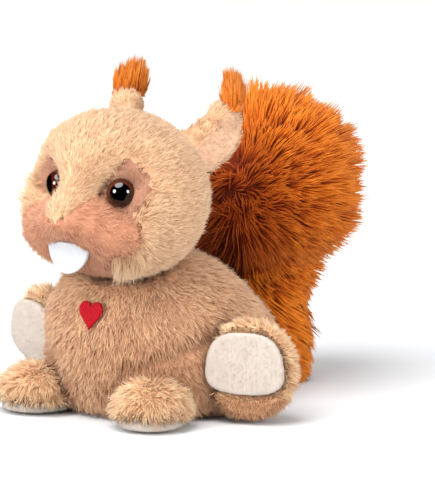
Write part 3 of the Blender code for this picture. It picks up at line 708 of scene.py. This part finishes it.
def panel_skin(which):
    """The part of the head's skin under one fabric, with a thickness of its own."""
    bm = head_skin.copy()
    other = fabric_at(np.array([face.calc_center_median() for face in bm.faces])) != which
    bmesh.ops.delete(bm, geom=[face for face, out in zip(bm.faces[:], other) if out], context="FACES")
    return backed(bm, PANEL_RAISED, PANEL_BACK)


seam_marks = roots[seam < 0.4 * MM]


# Painted shade in a seam's groove: a share from 0 to 1 that darkens the skin there
def painted_shade_in_seam(points):
    return np.exp(-((nearest_of(points, seam_marks) / (0.7 * MM)) ** 2))


for which, (name, cad_node, pile, material, slot) in enumerate(FACE_PIECES):
    here = fabric == which
    longer, leaning = 1.0, 0.0
    if which == 0:
        longer = (1 + 0.2 * fluffy + 1.5 * tufty + 0.9 * brow - 0.5 * by_eye * (1 - brow) - 0.25 * by_seam)[here]
        leaning = (-12 * fluffy - 26 * brow - 26 * tufty - 20 * by_seam)[here]
    longer = longer * (1 - 0.6 * np.exp(-((seam[here] / (0.8 * MM)) ** 2)))
    tone = seam_painted_shade[here] + (0.25 * fluffy + 0.3 * tufty)[here]
    strands = pile.strands(roots[here], normals[here], comb[here], 31 + which, tone, longer, leaning)
    skin = head_skin if which == 0 else panel_skin(which)
    piece = planted(name, skin, fitted(strands, blockers), material, dark=painted_shade_in_seam)
    finish_piece(piece, cad_node, slot=slot, fill=0.9)
    print(name, len(piece.data.polygons))

# The ears: plush behind and along the upper edge, a smooth lining along the outer edge in front
EAR_ROOT_HALF = Vector((10.0, 2.6, 6.0)) * MM
EAR_TIP_HALF = Vector((6.5, 6.4, 6.0)) * MM
EAR_TIP_BELOW = 4.6 * MM
EAR_AROUND = math.radians(142.6)
EAR_ABOVE = math.radians(26.5)
EAR_SEAT = 2.5 * MM
ear_pile = Pile(0.5 * MM, 2.8 * MM, 0.38 * MM, lean=66, clump=1.4 * MM, gather=0.3)
lining_pile = Pile(0.42 * MM, 2.0 * MM, 0.34 * MM, lean=58, clump=1.2 * MM)


class Ear:
    """A leaf that stands on the head, with its own directions along, across and out of its front."""

    def __init__(self, side):
        level = math.cos(EAR_ABOVE)
        out = Vector((side * math.sin(EAR_AROUND) * level, -math.cos(EAR_AROUND) * level, math.sin(EAR_ABOVE)))
        self.along = Vector((side * 0.40, 0.62, 0.67)).normalized()
        across = Vector((side * 0.767, 0.237, -0.596))
        self.across = (across - self.along * across.dot(self.along)).normalized()
        self.front = self.across.cross(self.along) * side
        head_side = solid_tree("head").ray_cast(head_centre + out * FAR, -out)[0]
        self.root = head_side - out * EAR_SEAT

    def mesh(self, solid, tuft):
        """The ear's solid, with a root that goes on into the head and a full tip under the tuft."""
        places = np.array([vert.co for vert in tuft.vertices])
        low, high = places.min(axis=0), places.max(axis=0)
        base = Vector(places[places[:, 2] < low[2] + 0.3 * (high[2] - low[2])].mean(axis=0))
        bm = bmesh.new()
        parts = ((self.root, EAR_ROOT_HALF), (base - self.along * EAR_TIP_BELOW, EAR_TIP_HALF))
        for centre, half in parts:
            made = bmesh.ops.create_icosphere(bm, subdivisions=3, radius=1)["verts"]
            for vert in made:
                u, thick, t = vert.co
                vert.co = centre + self.across * u * half.x + self.front * thick * half.y + self.along * t * half.z
        bmesh.ops.recalc_face_normals(bm, faces=bm.faces)
        bm.from_mesh(solid)
        mesh = bpy.data.meshes.new("ear_blank")
        bm.to_mesh(mesh)
        bm.free()
        return mesh

    def lined(self, points, normals):
        """Where the front of the ear has its lining."""
        away = points - np.array(self.root)
        outer = away @ np.array(self.across) > 0.8 * MM
        return outer & (normals @ np.array(self.front) > 0.1) & (away @ np.array(self.along) < 19 * MM)

    def comb(self, points, normals):
        return away_from(self.root - self.along * 10 * MM, points, normals)


for side, hand in SIDES:
    ear = Ear(side)
    ear_mesh = ear.mesh(NODES["ear_" + hand].data, NODES["ear_tuft_" + hand].data)
    skin = remeshed(ear_mesh, 0.8 * MM, 0.8 * MM)
    roots, normals = sown(skin, ear_pile.spacing, 41 + side)
    outside = ~ear.lined(roots, normals)
    roots, normals = roots[outside], normals[outside]
    behind = np.clip(-normals @ np.array(ear.front) * 1.6, 0, 1)
    strands = ear_pile.strands(
        roots, normals, ear.comb(roots, normals), 41, tone=-0.1 * behind, longer=1 - 0.45 * behind
    )
    strands = fitted(strands, solid_tree("head"))
    piece = planted("ear_plush_" + hand, skin, strands, FACE, softness=0.4)
    finish_piece(piece, "ear_" + hand, slot="beige_plush", fill=0.9)
    print(piece.name, len(piece.data.polygons))
    roots, normals = sown(skin, lining_pile.spacing, 43 + side)
    in_front = ear.lined(roots, normals)
    roots, normals = roots[in_front], normals[in_front]
    strands = lining_pile.strands(roots, normals, ear.comb(roots, normals), 44)
    middles = np.array([face.calc_center_median() for face in skin.faces])
    bare = ~ear.lined(middles, np.array([face.normal for face in skin.faces]))
    bmesh.ops.delete(skin, geom=[face for face, out in zip(skin.faces[:], bare) if out], context="FACES")
    backed(skin, PANEL_RAISED, PANEL_BACK)
    strands = fitted(strands, solid_tree("head"))
    piece = planted("ear_lining_" + hand, skin, strands, EAR_LINING, softness=0.5)
    skin.free()
    finish_piece(piece, "ear_" + hand, slot="beige_plush", fill=0.9)
    print(piece.name, len(piece.data.polygons))

# The tufts on the ears
TUFT_HEIGHT = 0.62
TUFT_FAN = 0.55
tuft_pile = Pile(
    0.42 * MM, 7.0 * MM, 0.42 * MM, lean=78, clump=1.5 * MM, gather=0.35, swirl=0.12, mess=0.05, bends=1
)


def fanned(solid):
    """A tuft's solid, a little lower and wide at its base, where the pile leaves the ear."""
    mesh = solid.copy()
    places = np.array([vert.co for vert in mesh.vertices])
    low, high = places.min(axis=0), places.max(axis=0)
    share = (places[:, 2:] - low[2]) / (high[2] - low[2])
    middle = (low + high)[:2] / 2
    base = places[places[:, 2] < low[2] + 0.35 * (high[2] - low[2])][:, :2].mean(axis=0)
    middle = base * (1 - share) + middle * share
    places[:, :2] = middle + (places[:, :2] - middle) * (1 + TUFT_FAN * (1 - share) ** 3)
    places[:, 2] = low[2] + (places[:, 2] - low[2]) * TUFT_HEIGHT
    mesh.vertices.foreach_set("co", places.reshape(-1).astype(np.float32))
    return mesh


for side, hand in SIDES:
    tuft_up = np.array((-side * 0.14, 0.10, 0.98))
    covered(
        "ear_tuft_pile_" + hand,
        "ear_tuft_" + hand,
        remeshed(fanned(NODES["ear_tuft_" + hand].data), 0.6 * MM, 0.9 * MM, smoothing=4),
        tuft_pile,
        lambda p, n: np.broadcast_to(tuft_up, p.shape),
        LONG_ORANGE,
        "orange_long_plush",
        ["head"],
        51 + side,
        shape=lambda p, n: {"longer": np.clip(1 + 0.9 * n[:, 2], 0.2, 1), "tone": -0.35},
        softness=0.3,
    )

# The front paws and their light pads
PAW_IN = 2.6 * MM
paw_pile = Pile(0.48 * MM, 4.4 * MM, 0.42 * MM, lean=52, clump=1.8 * MM, mess=0.16)
nap = Pile(0.5 * MM, 0.8 * MM, 0.4 * MM, lean=35, clump=1.2 * MM, mess=0.25)
for side, hand in SIDES:
    paw_shift = Vector((PAW_IN, 0, 0)) if hand == "right" else Vector()
    paw_centre = middle_of("paw_" + hand) + paw_shift
    covered(
        "paw_plush_" + hand,
        "paw_" + hand,
        moved(remeshed(NODES["paw_" + hand].data, 1.2 * MM, 2.0 * MM), paw_shift),
        paw_pile,
        lambda p, n: away_from(paw_centre + UP * 9 * MM, p, n),
        PAW,
        "tan_plush",
        ["foot_" + hand] if side < 0 else ["paw_pad_" + hand, "foot_" + hand],
        61 + side,
        where=lambda p: p[:, 2] > 2.0 * MM,
        softness=0.45,
    )
    pad_centre = middle_of("paw_pad_" + hand)
    covered(
        "paw_pad_velour_" + hand,
        "paw_pad_" + hand,
        moved(remeshed(NODES["paw_pad_" + hand].data, 1.0 * MM, 0.4 * MM), paw_shift),
        nap,
        lambda p, n: away_from(pad_centre + UP * 20 * MM, p, n),
        VELOUR,
        "ivory_velour",
        ["body"],
        66 + side,
        where=lambda p: p[:, 2] > 0.6 * MM,
    )

# The hind feet and their soles
TOP_TUFT = {"left": 0.1, "right": 0.9}
FOOT_TUCK = 5.0 * MM
foot_pile = Pile(0.5 * MM, 3.2 * MM, 0.42 * MM, lean=48, clump=1.8 * MM, mess=0.16)


def foot_comb(points, normals):
    """Away from the sole, and forward over its upper edge."""
    on_top = np.clip((points[:, 2:] - sole_centre.z - 9 * MM) / (4 * MM), 0, 1)
    return tangent(away_from(sole_centre, points, normals) * (1 - on_top) - np.array((0, 1, 0)) * on_top, normals)


def foot_shape(points, normals):
    """Tan under the sole, golden round the rest, and upright beside the sole."""
    by_sole = np.exp(-((nearest_of(points, sole_marks) / (3.5 * MM)) ** 2))
    below = np.clip((12 * MM - points[:, 2]) / (5 * MM), 0, 1)
    on_top = np.clip((points[:, 2] - sole_centre.z - 9 * MM) / (4 * MM), 0, 1)
    longer = 1 + 0.15 * by_sole + TOP_TUFT[hand] * on_top - 0.45 * np.clip((4 * MM - points[:, 2]) / (2 * MM), 0, 1)
    return {"tone": 0.25 * by_sole - 0.9 * below, "leaning": -30 * by_sole, "longer": longer}


def tucked(bm, hand):
    """The right foot's lower half lies closer in, under the body."""
    if hand == "right":
        for vert in bm.verts:
            share = min(max((sole_centre.z - vert.co.z) / (12 * MM), 0), 1)
            vert.co.x += FOOT_TUCK * share**2
        bm.normal_update()
    return bm


for side, hand in SIDES:
    foot_centre = middle_of("foot_" + hand)
    sole_centre = middle_of("foot_sole_" + hand)
    sole_marks = [vert.co for vert in NODES["foot_sole_" + hand].data.vertices]
    covered(
        "foot_plush_" + hand,
        "foot_" + hand,
        tucked(remeshed(NODES["foot_" + hand].data, 1.2 * MM, 2.0 * MM), hand),
        foot_pile,
        lambda p, n: foot_comb(p, n),
        PAW,
        "tan_plush",
        ["foot_sole_left", "body", "paw_left"] if side > 0 else ["body"],
        71 + side,
        where=lambda p: p[:, 2] > 1.0 * MM,
        shape=foot_shape,
        softness=0.45,
    )
    covered(
        "foot_sole_velour_" + hand,
        "foot_sole_" + hand,
        tucked(remeshed(NODES["foot_sole_" + hand].data, 0.7 * MM, 0.4 * MM), hand),
        nap,
        lambda p, n: away_from(sole_centre + UP * 30 * MM, p, n),
        VELOUR,
        "ivory_velour",
        ["body"],
        76 + side,
    )

# The tail's long pile on a ball and a stalk, parting round a hub beside the head
low, high = (Vector(corner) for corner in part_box("tail"))
ball_reach = (high.x - low.x) / 2
ball_centre = Vector((0, (low.y + high.y) / 2, high.z - ball_reach))
BALL_PILE = 8.4 * MM
STALK_CORE = 12.5 * MM
HUB_AROUND = math.radians(19)
HUB_CLEFT = 11.0 * MM
EAR_TOP_PX = (243.0, 150.0)
BALL_MIDDLE_PX = (277.0, 172.0)
hub = ball_centre + Vector((math.sin(HUB_AROUND), -math.cos(HUB_AROUND), -0.16)) * (ball_reach - BALL_PILE)
tail_pile = Pile(
    0.70 * MM, 10.5 * MM, 0.5 * MM, lean=54, clump=2.1 * MM, gather=0.26, swirl=0.18, mess=0.08, bends=1
)
WAIST = 34.0 * MM
TAIL_DENT_DEPTH = 6.0 * MM
TAIL_DENT_ABOVE = math.radians(40)


def tail_core():
    """A ball on a stalk, under the long pile."""
    bm = bmesh.new()
    bmesh.ops.create_icosphere(bm, subdivisions=4, radius=ball_reach - BALL_PILE)
    for vert in bm.verts:
        way = vert.co.normalized()
        above = math.asin(max(min(way.z, 1), -1)) - TAIL_DENT_ABOVE
        around = math.atan2(way.x, -way.y)
        fade = math.exp(-((around / math.radians(75)) ** 2) - (above / math.radians(28)) ** 2)
        vert.co -= way * TAIL_DENT_DEPTH * fade
    bmesh.ops.translate(bm, vec=ball_centre, verts=bm.verts)
    middle = Matrix.Translation((ball_centre.x, ball_centre.y, ball_centre.z / 2 + FLOOR_GAP))
    bmesh.ops.create_cone(
        bm,
        cap_ends=True,
        segments=48,
        radius1=STALK_CORE,
        radius2=STALK_CORE,
        depth=ball_centre.z,
        matrix=middle,
    )
    mesh = bpy.data.meshes.new("tail_core")
    bm.to_mesh(mesh)
    bm.free()
    return mesh


def tail_comb(points, normals):
    """Away from the cleft at the hub over the ball, and sideways and down round the stalk."""
    pole = np.tile(np.array(hub), (len(points), 1))
    pole[:, 2] = np.clip(points[:, 2], hub.z - HUB_CLEFT, hub.z + HUB_CLEFT)
    pole += drift(points, 5 * MM) * 8 * MM
    away = tangent(points - pole, normals)
    low_down = np.clip((ball_centre.z - 18 * MM - points[:, 2:]) / (12 * MM), 0, 1)
    return tangent(away * (1 - low_down) + np.array([0.69, 0.58, -0.6]) * low_down, normals)


def apart_from_cleft(points):
    level = np.clip(points[:, 2], hub.z - HUB_CLEFT, hub.z + HUB_CLEFT)
    return np.linalg.norm(points - np.column_stack([np.tile(np.array(hub.xy), (len(points), 1)), level]), axis=1)


def tail_shape(points, normals):
    """Flat and dark by the hub, and standing and bright far from it; the tone's fall towards the hub is painted
    shade, where the head shadows the tail.
    """
    apart = np.linalg.norm(points - np.array(hub), axis=1)
    outward = np.clip(apart / (36 * MM), 0, 1)
    high_up = np.clip((points[:, 2] - ball_centre.z - 8 * MM) / (18 * MM), 0, 1)
    low_down = np.clip((WAIST + 4 * MM - points[:, 2]) / (6 * MM), 0, 1)
    waist = np.exp(-(((points[:, 2] - WAIST) / (5 * MM)) ** 2))
    foot = np.clip((20 * MM - points[:, 2]) / (16 * MM), 0, 1)
    rightward = np.clip((points - np.array(hub)) @ np.array(VIEW_RIGHT) / (8 * MM), 0, 1)
    across = ORIGIN_PX[0] + points @ np.array(VIEW_RIGHT) / PIXEL
    down = ORIGIN_PX[1] - points @ np.array(VIEW_UP) / PIXEL
    by_ear = np.clip((EAR_TOP_PX[0] - across) / 14, 0, 1) * np.clip((EAR_TOP_PX[1] - down) / 14, 0, 1)
    by_hub = np.exp(-((apart_from_cleft(points) / (8 * MM)) ** 2))
    around_ball = np.degrees(np.arctan2(BALL_MIDDLE_PX[1] - down, across - BALL_MIDDLE_PX[0]))
    full = (np.exp(-(((around_ball - 38) / 22) ** 2)) + np.exp(-(((around_ball + 42) / 16) ** 2))) * rightward
    beside = (1 - rightward) * np.clip((hub.z + 4 * MM - points[:, 2]) / (8 * MM), 0, 1)
    upright = (1 - np.exp(-apart / (10 * MM))) * rightward * (1 - 0.6 * high_up)
    return {
        "tone": 0.75 * outward + 0.2 * high_up + 0.25 * low_down - 0.5 - 0.5 * by_hub,
        "leaning": -38 * upright * (1 - low_down) + 8 * low_down + 15 * by_ear,
        "longer": (1 - 0.3 * waist * rightward - 0.35 * foot - 0.2 * by_hub + 0.22 * full + 0.7 * beside)
        * (1 - 0.8 * by_ear),
    }


covered(
    "tail_long_pile",
    "tail",
    remeshed(tail_core(), 1.8 * MM, 0.0, smoothing=6),
    tail_pile,
    tail_comb,
    LONG_RUST,
    "rust_long_plush",
    ["body", "head", "foot_left", "foot_right"],
    81,
    where=lambda p: p[:, 2] > 2 * MM,
    shape=tail_shape,
    # Painted shade: the skin darkens at the cleft by the hub, in the head's shadow
    dark=lambda p: np.exp(-((apart_from_cleft(p) / (7 * MM)) ** 2)),
    blunt=True,
)


# The safety eyes
def eye_material(seat, turned):
    """Moulded acrylic: a black pupil behind a clear dome, in a red-brown ring."""
    material, tree, shader = new_material("moulded_acrylic_eye", Roughness=0.04, IOR=1.49)
    shader.inputs["Coat Weight"].default_value = 0.6
    shader.inputs["Coat Roughness"].default_value = 0.02
    place = node(tree, "ShaderNodeTexCoord").outputs["Object"]
    centred = node(
        tree,
        "ShaderNodeMapping",
        {"Vector": place, "Location": seat, "Rotation": turned.to_euler()},
        vector_type="TEXTURE",
    )
    flat = node(tree, "ShaderNodeVectorMath", {0: centred.outputs[0], 1: (1, 1, 0)}, operation="MULTIPLY")
    out = node(tree, "ShaderNodeVectorMath", {0: flat.outputs[0]}, operation="LENGTH")
    share = node(tree, "ShaderNodeMath", {0: out.outputs["Value"], 1: EYE_RADIUS}, operation="DIVIDE")
    ring = [(PUPIL_SHARE - 0.03, "#020202"), (PUPIL_SHARE + 0.04, "#481606"), (0.93, "#340E06"), (1.0, "#160604")]
    tree.links.new(ramp(tree, share.outputs[0], ring), shader.inputs["Base Color"])
    return material


for side, hand in SIDES:
    seat, look = eye_place(side, hand)
    turned = Matrix((UP.cross(look), UP, look)).transposed()
    dome = [math.radians(90 * i / 16) for i in range(17)]
    profile = [(0, -SHANK_LENGTH), (SHANK_RADIUS, -SHANK_LENGTH), (SHANK_RADIUS, 0), (EYE_RADIUS * 0.97, 0)]
    profile += [(EYE_RADIUS, 0.03 * EYE_RADIUS)]
    profile += [(EYE_RADIUS * math.cos(a), EYE_RIM + EYE_DOME * math.sin(a)) for a in dome[:-1]]
    profile += [(0, EYE_RIM + EYE_DOME)]
    bm = bmesh.new()
    verts = [bm.verts.new((radius, 0, height)) for radius, height in profile]
    edges = [bm.edges.new(pair) for pair in zip(verts, verts[1:])]
    bmesh.ops.spin(
        bm, geom=verts + edges, cent=(0, 0, 0), axis=UP, angle=math.tau, steps=EYE_STEPS, use_merge=True
    )
    bmesh.ops.remove_doubles(bm, verts=bm.verts, dist=1e-6)
    bmesh.ops.recalc_face_normals(bm, faces=bm.faces)
    bmesh.ops.transform(bm, matrix=Matrix.Translation(seat) @ turned.to_4x4(), verts=bm.verts)
    mesh = bpy.data.meshes.new("safety_eye_" + hand)
    bm.to_mesh(mesh)
    bm.free()
    mesh.shade_smooth()
    mesh.set_sharp_from_angle(angle=math.radians(50))
    mesh.materials.append(eye_material(seat, turned))
    piece = bpy.data.objects.new("safety_eye_" + hand, mesh)
    bpy.context.scene.collection.objects.link(piece)
    finish_piece(piece, "eye_" + hand, slot="eye_plastic")


# The felt tooth
def felt_material():
    """Pressed wool felt: no weave, a soft fibrous surface a few tenths of a millimetre rough."""
    material, tree, shader = new_material("white_pressed_felt", Roughness=0.95)
    place = node(tree, "ShaderNodeTexCoord").outputs["Object"]
    fibres = node(tree, "ShaderNodeTexNoise", {"Vector": place, "Scale": 1 / (0.5 * MM), "Detail": 4.0})
    colour = ramp(tree, fibres.outputs["Fac"], [(0.3, "#B4B6BA"), (0.7, "#C0C2C5")])
    tree.links.new(colour, shader.inputs["Base Color"])
    bump = node(tree, "ShaderNodeBump", {"Height": fibres.outputs["Fac"], "Distance": 0.15 * MM, "Strength": 0.5})
    tree.links.new(bump.outputs[0], shader.inputs["Normal"])
    return material


low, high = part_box("tooth")
tooth_half, tooth_drop = (high[0] - low[0]) / 2, high[2] - low[2]
bm = bmesh.new()
angles = [math.pi * i / TOOTH_STEPS for i in range(TOOTH_STEPS + 1)]
outline = [
    (
        math.copysign(abs(math.cos(a)) ** TOOTH_POINT, math.cos(a)) * tooth_half,
        -TOOTH_ARCH - max(math.sin(a), 0.0) ** TOOTH_POINT * (tooth_drop - TOOTH_ARCH),
        0,
    )
    for a in angles
]
outline += [
    (math.cos(a) * tooth_half, -TOOTH_ARCH * (1 - math.sin(a)), 0) for a in reversed(angles[1:-1])
]
face = bm.faces.new([bm.verts.new(p) for p in outline])
top = bmesh.ops.extrude_face_region(bm, geom=[face])["geom"]
bmesh.ops.translate(
    bm, vec=(0, 0, TOOTH_THICKNESS), verts=[v for v in top if isinstance(v, bmesh.types.BMVert)]
)
bmesh.ops.recalc_face_normals(bm, faces=bm.faces)
rim = [edge for edge in bm.edges if abs(edge.verts[0].co.z - edge.verts[1].co.z) < 1e-6]
bmesh.ops.bevel(bm, geom=rim, offset=0.4 * MM, segments=3, profile=0.5, affect="EDGES", material=-1)
for i in range(1, 16):
    everything = bm.verts[:] + bm.edges[:] + bm.faces[:]
    bmesh.ops.bisect_plane(bm, geom=everything, plane_co=((i / 8 - 1) * tooth_half, 0, 0), plane_no=(1, 0, 0))
for vert in bm.verts:
    vert.co.z -= vert.co.x**2 / (2 * TOOTH_BEND_RADIUS)
facing = Matrix.Rotation(math.radians(90), 4, "X")
place = Matrix.Translation((0, low[1] + TOOTH_THICKNESS, high[2])) @ facing
bmesh.ops.transform(bm, matrix=place, verts=bm.verts)
mesh = bpy.data.meshes.new("tooth_felt")
bm.to_mesh(mesh)
bm.free()
mesh.shade_smooth()
mesh.set_sharp_from_angle(angle=math.radians(60))
mesh.materials.append(felt_material())
piece = bpy.data.objects.new("tooth_felt", mesh)
bpy.context.scene.collection.objects.link(piece)
finish_piece(piece, "tooth", slot="white_felt")

# The heart patch, stretched a little by the full chest
HEART_SCALE = (0.93, 1.13)
HEART_SHIFT = (0.6 * MM, 0.7 * MM)


def embroidery_material():
    """Satin stitch in rayon thread: close slanting ridges 0.35 mm apart, with a silky gloss."""
    material, tree, shader = new_material("red_satin_stitch", Roughness=0.7)
    shader.inputs["Specular IOR Level"].default_value = 0.15
    place = node(tree, "ShaderNodeTexCoord").outputs["Object"]
    slanted = node(tree, "ShaderNodeMapping", {"Vector": place, "Rotation": (0, math.radians(35), 0)})
    stitches = node(
        tree,
        "ShaderNodeTexWave",
        {"Vector": slanted.outputs[0], "Scale": 1 / (0.35 * MM) / 6.3, "Distortion": 1.0},
    )
    # Darker red between the ridges: painted shade in the grooves of the stitches
    colour = ramp(tree, stitches.outputs["Fac"], [(0.0, "#780210"), (0.6, "#AC0418")])
    tree.links.new(colour, shader.inputs["Base Color"])
    bump = node(tree, "ShaderNodeBump", {"Height": stitches.outputs["Fac"], "Distance": 0.12 * MM})
    tree.links.new(bump.outputs[0], shader.inputs["Normal"])
    return material


bm = remeshed(NODES["heart_patch"].data, 0.22 * MM, -0.05 * MM, smoothing=4)
heart_middle = middle_of("heart_patch")
for vert in bm.verts:
    vert.co.x = heart_middle.x + (vert.co.x - heart_middle.x) * HEART_SCALE[0] + HEART_SHIFT[0]
    vert.co.z = heart_middle.z + (vert.co.z - heart_middle.z) * HEART_SCALE[1] + HEART_SHIFT[1]
mesh = bpy.data.meshes.new("heart_embroidery")
bm.to_mesh(mesh)
bm.free()
mesh.shade_smooth()
mesh.materials.append(embroidery_material())
piece = bpy.data.objects.new("heart_embroidery", mesh)
bpy.context.scene.collection.objects.link(piece)
finish_piece(piece, "heart_patch", slot="red_embroidery")

# The stage: paper a little greyer under the toy, so that the shadows show
FLOOR_NEAR = 0.16
FLOOR_AWAY = 0.50
stage_mesh = bpy.data.meshes.new("floor")
bm = bmesh.new()
bmesh.ops.create_grid(bm, x_segments=1, y_segments=1, size=6)
bm.to_mesh(stage_mesh)
bm.free()
material, tree, shader = new_material("white_paper", Roughness=0.9)
place = node(tree, "ShaderNodeTexCoord").outputs["Object"]
out = node(tree, "ShaderNodeVectorMath", {0: place}, operation="LENGTH")
share = node(tree, "ShaderNodeMapRange", {"Value": out.outputs["Value"], 1: FLOOR_NEAR, 2: FLOOR_AWAY})
tree.links.new(ramp(tree, share.outputs[0], [(0.0, "#DCDEE0"), (1.0, "#FCFCFC")]), shader.inputs["Base Color"])
stage_mesh.materials.append(material)
floor = bpy.data.objects.new("floor", stage_mesh)
bpy.context.scene.collection.objects.link(floor)
floor.visible_glossy = False

aim = VIEW_RIGHT * (PHOTO_MIDDLE_PX[0] - ORIGIN_PX[0]) * PIXEL
aim += VIEW_UP * (ORIGIN_PX[1] - PHOTO_MIDDLE_PX[1]) * PIXEL
camera = bpy.data.objects.new("camera", bpy.data.cameras.new("camera"))
bpy.context.scene.collection.objects.link(camera)
camera.matrix_world = Matrix.Translation(aim + VIEW_BACK * VIEW_DISTANCE) @ Matrix(
    (VIEW_RIGHT, VIEW_UP, VIEW_BACK)
).transposed().to_4x4()
camera.data.sensor_width = SENSOR_MM
camera.data.lens = SENSOR_MM * VIEW_DISTANCE / (PHOTO_HEIGHT_PX * PIXEL)
camera.data.clip_end = 30
bpy.context.scene.camera = camera


def soft_light(name, way, distance, radius, power):
    """A round softbox that looks at the toy."""
    light = bpy.data.lights.new(name, "AREA")
    light.shape = "DISK"
    light.size = 2 * radius
    light.energy = power
    lamp = bpy.data.objects.new(name, light)
    bpy.context.scene.collection.objects.link(lamp)
    middle = Vector((0, 10 * MM, 55 * MM))
    lamp.matrix_world = Matrix.Translation(middle + way.normalized() * distance) @ way.to_track_quat(
        "Z", "Y"
    ).to_matrix().to_4x4()


soft_light("key", VIEW_BACK * 0.66 - VIEW_RIGHT * 0.74 + UP * 0.16, 1.0, 0.20, 6.0)
soft_light("fill", VIEW_BACK * 0.66 + VIEW_RIGHT * 0.74 + UP * 0.12, 1.0, 0.18, 4.5)
soft_light("top", VIEW_BACK * 0.40 - VIEW_RIGHT * 0.30 + UP, 1.0, 0.45, 12.0)
world = bpy.data.worlds.new("studio")
world.use_nodes = True
world.node_tree.nodes["Background"].inputs["Color"].default_value = (1, 1, 1, 1)
world.node_tree.nodes["Background"].inputs["Strength"].default_value = 0.8
world.cycles_visibility.glossy = False
bpy.context.scene.world = world
bpy.context.scene.view_settings.view_transform = "Standard"
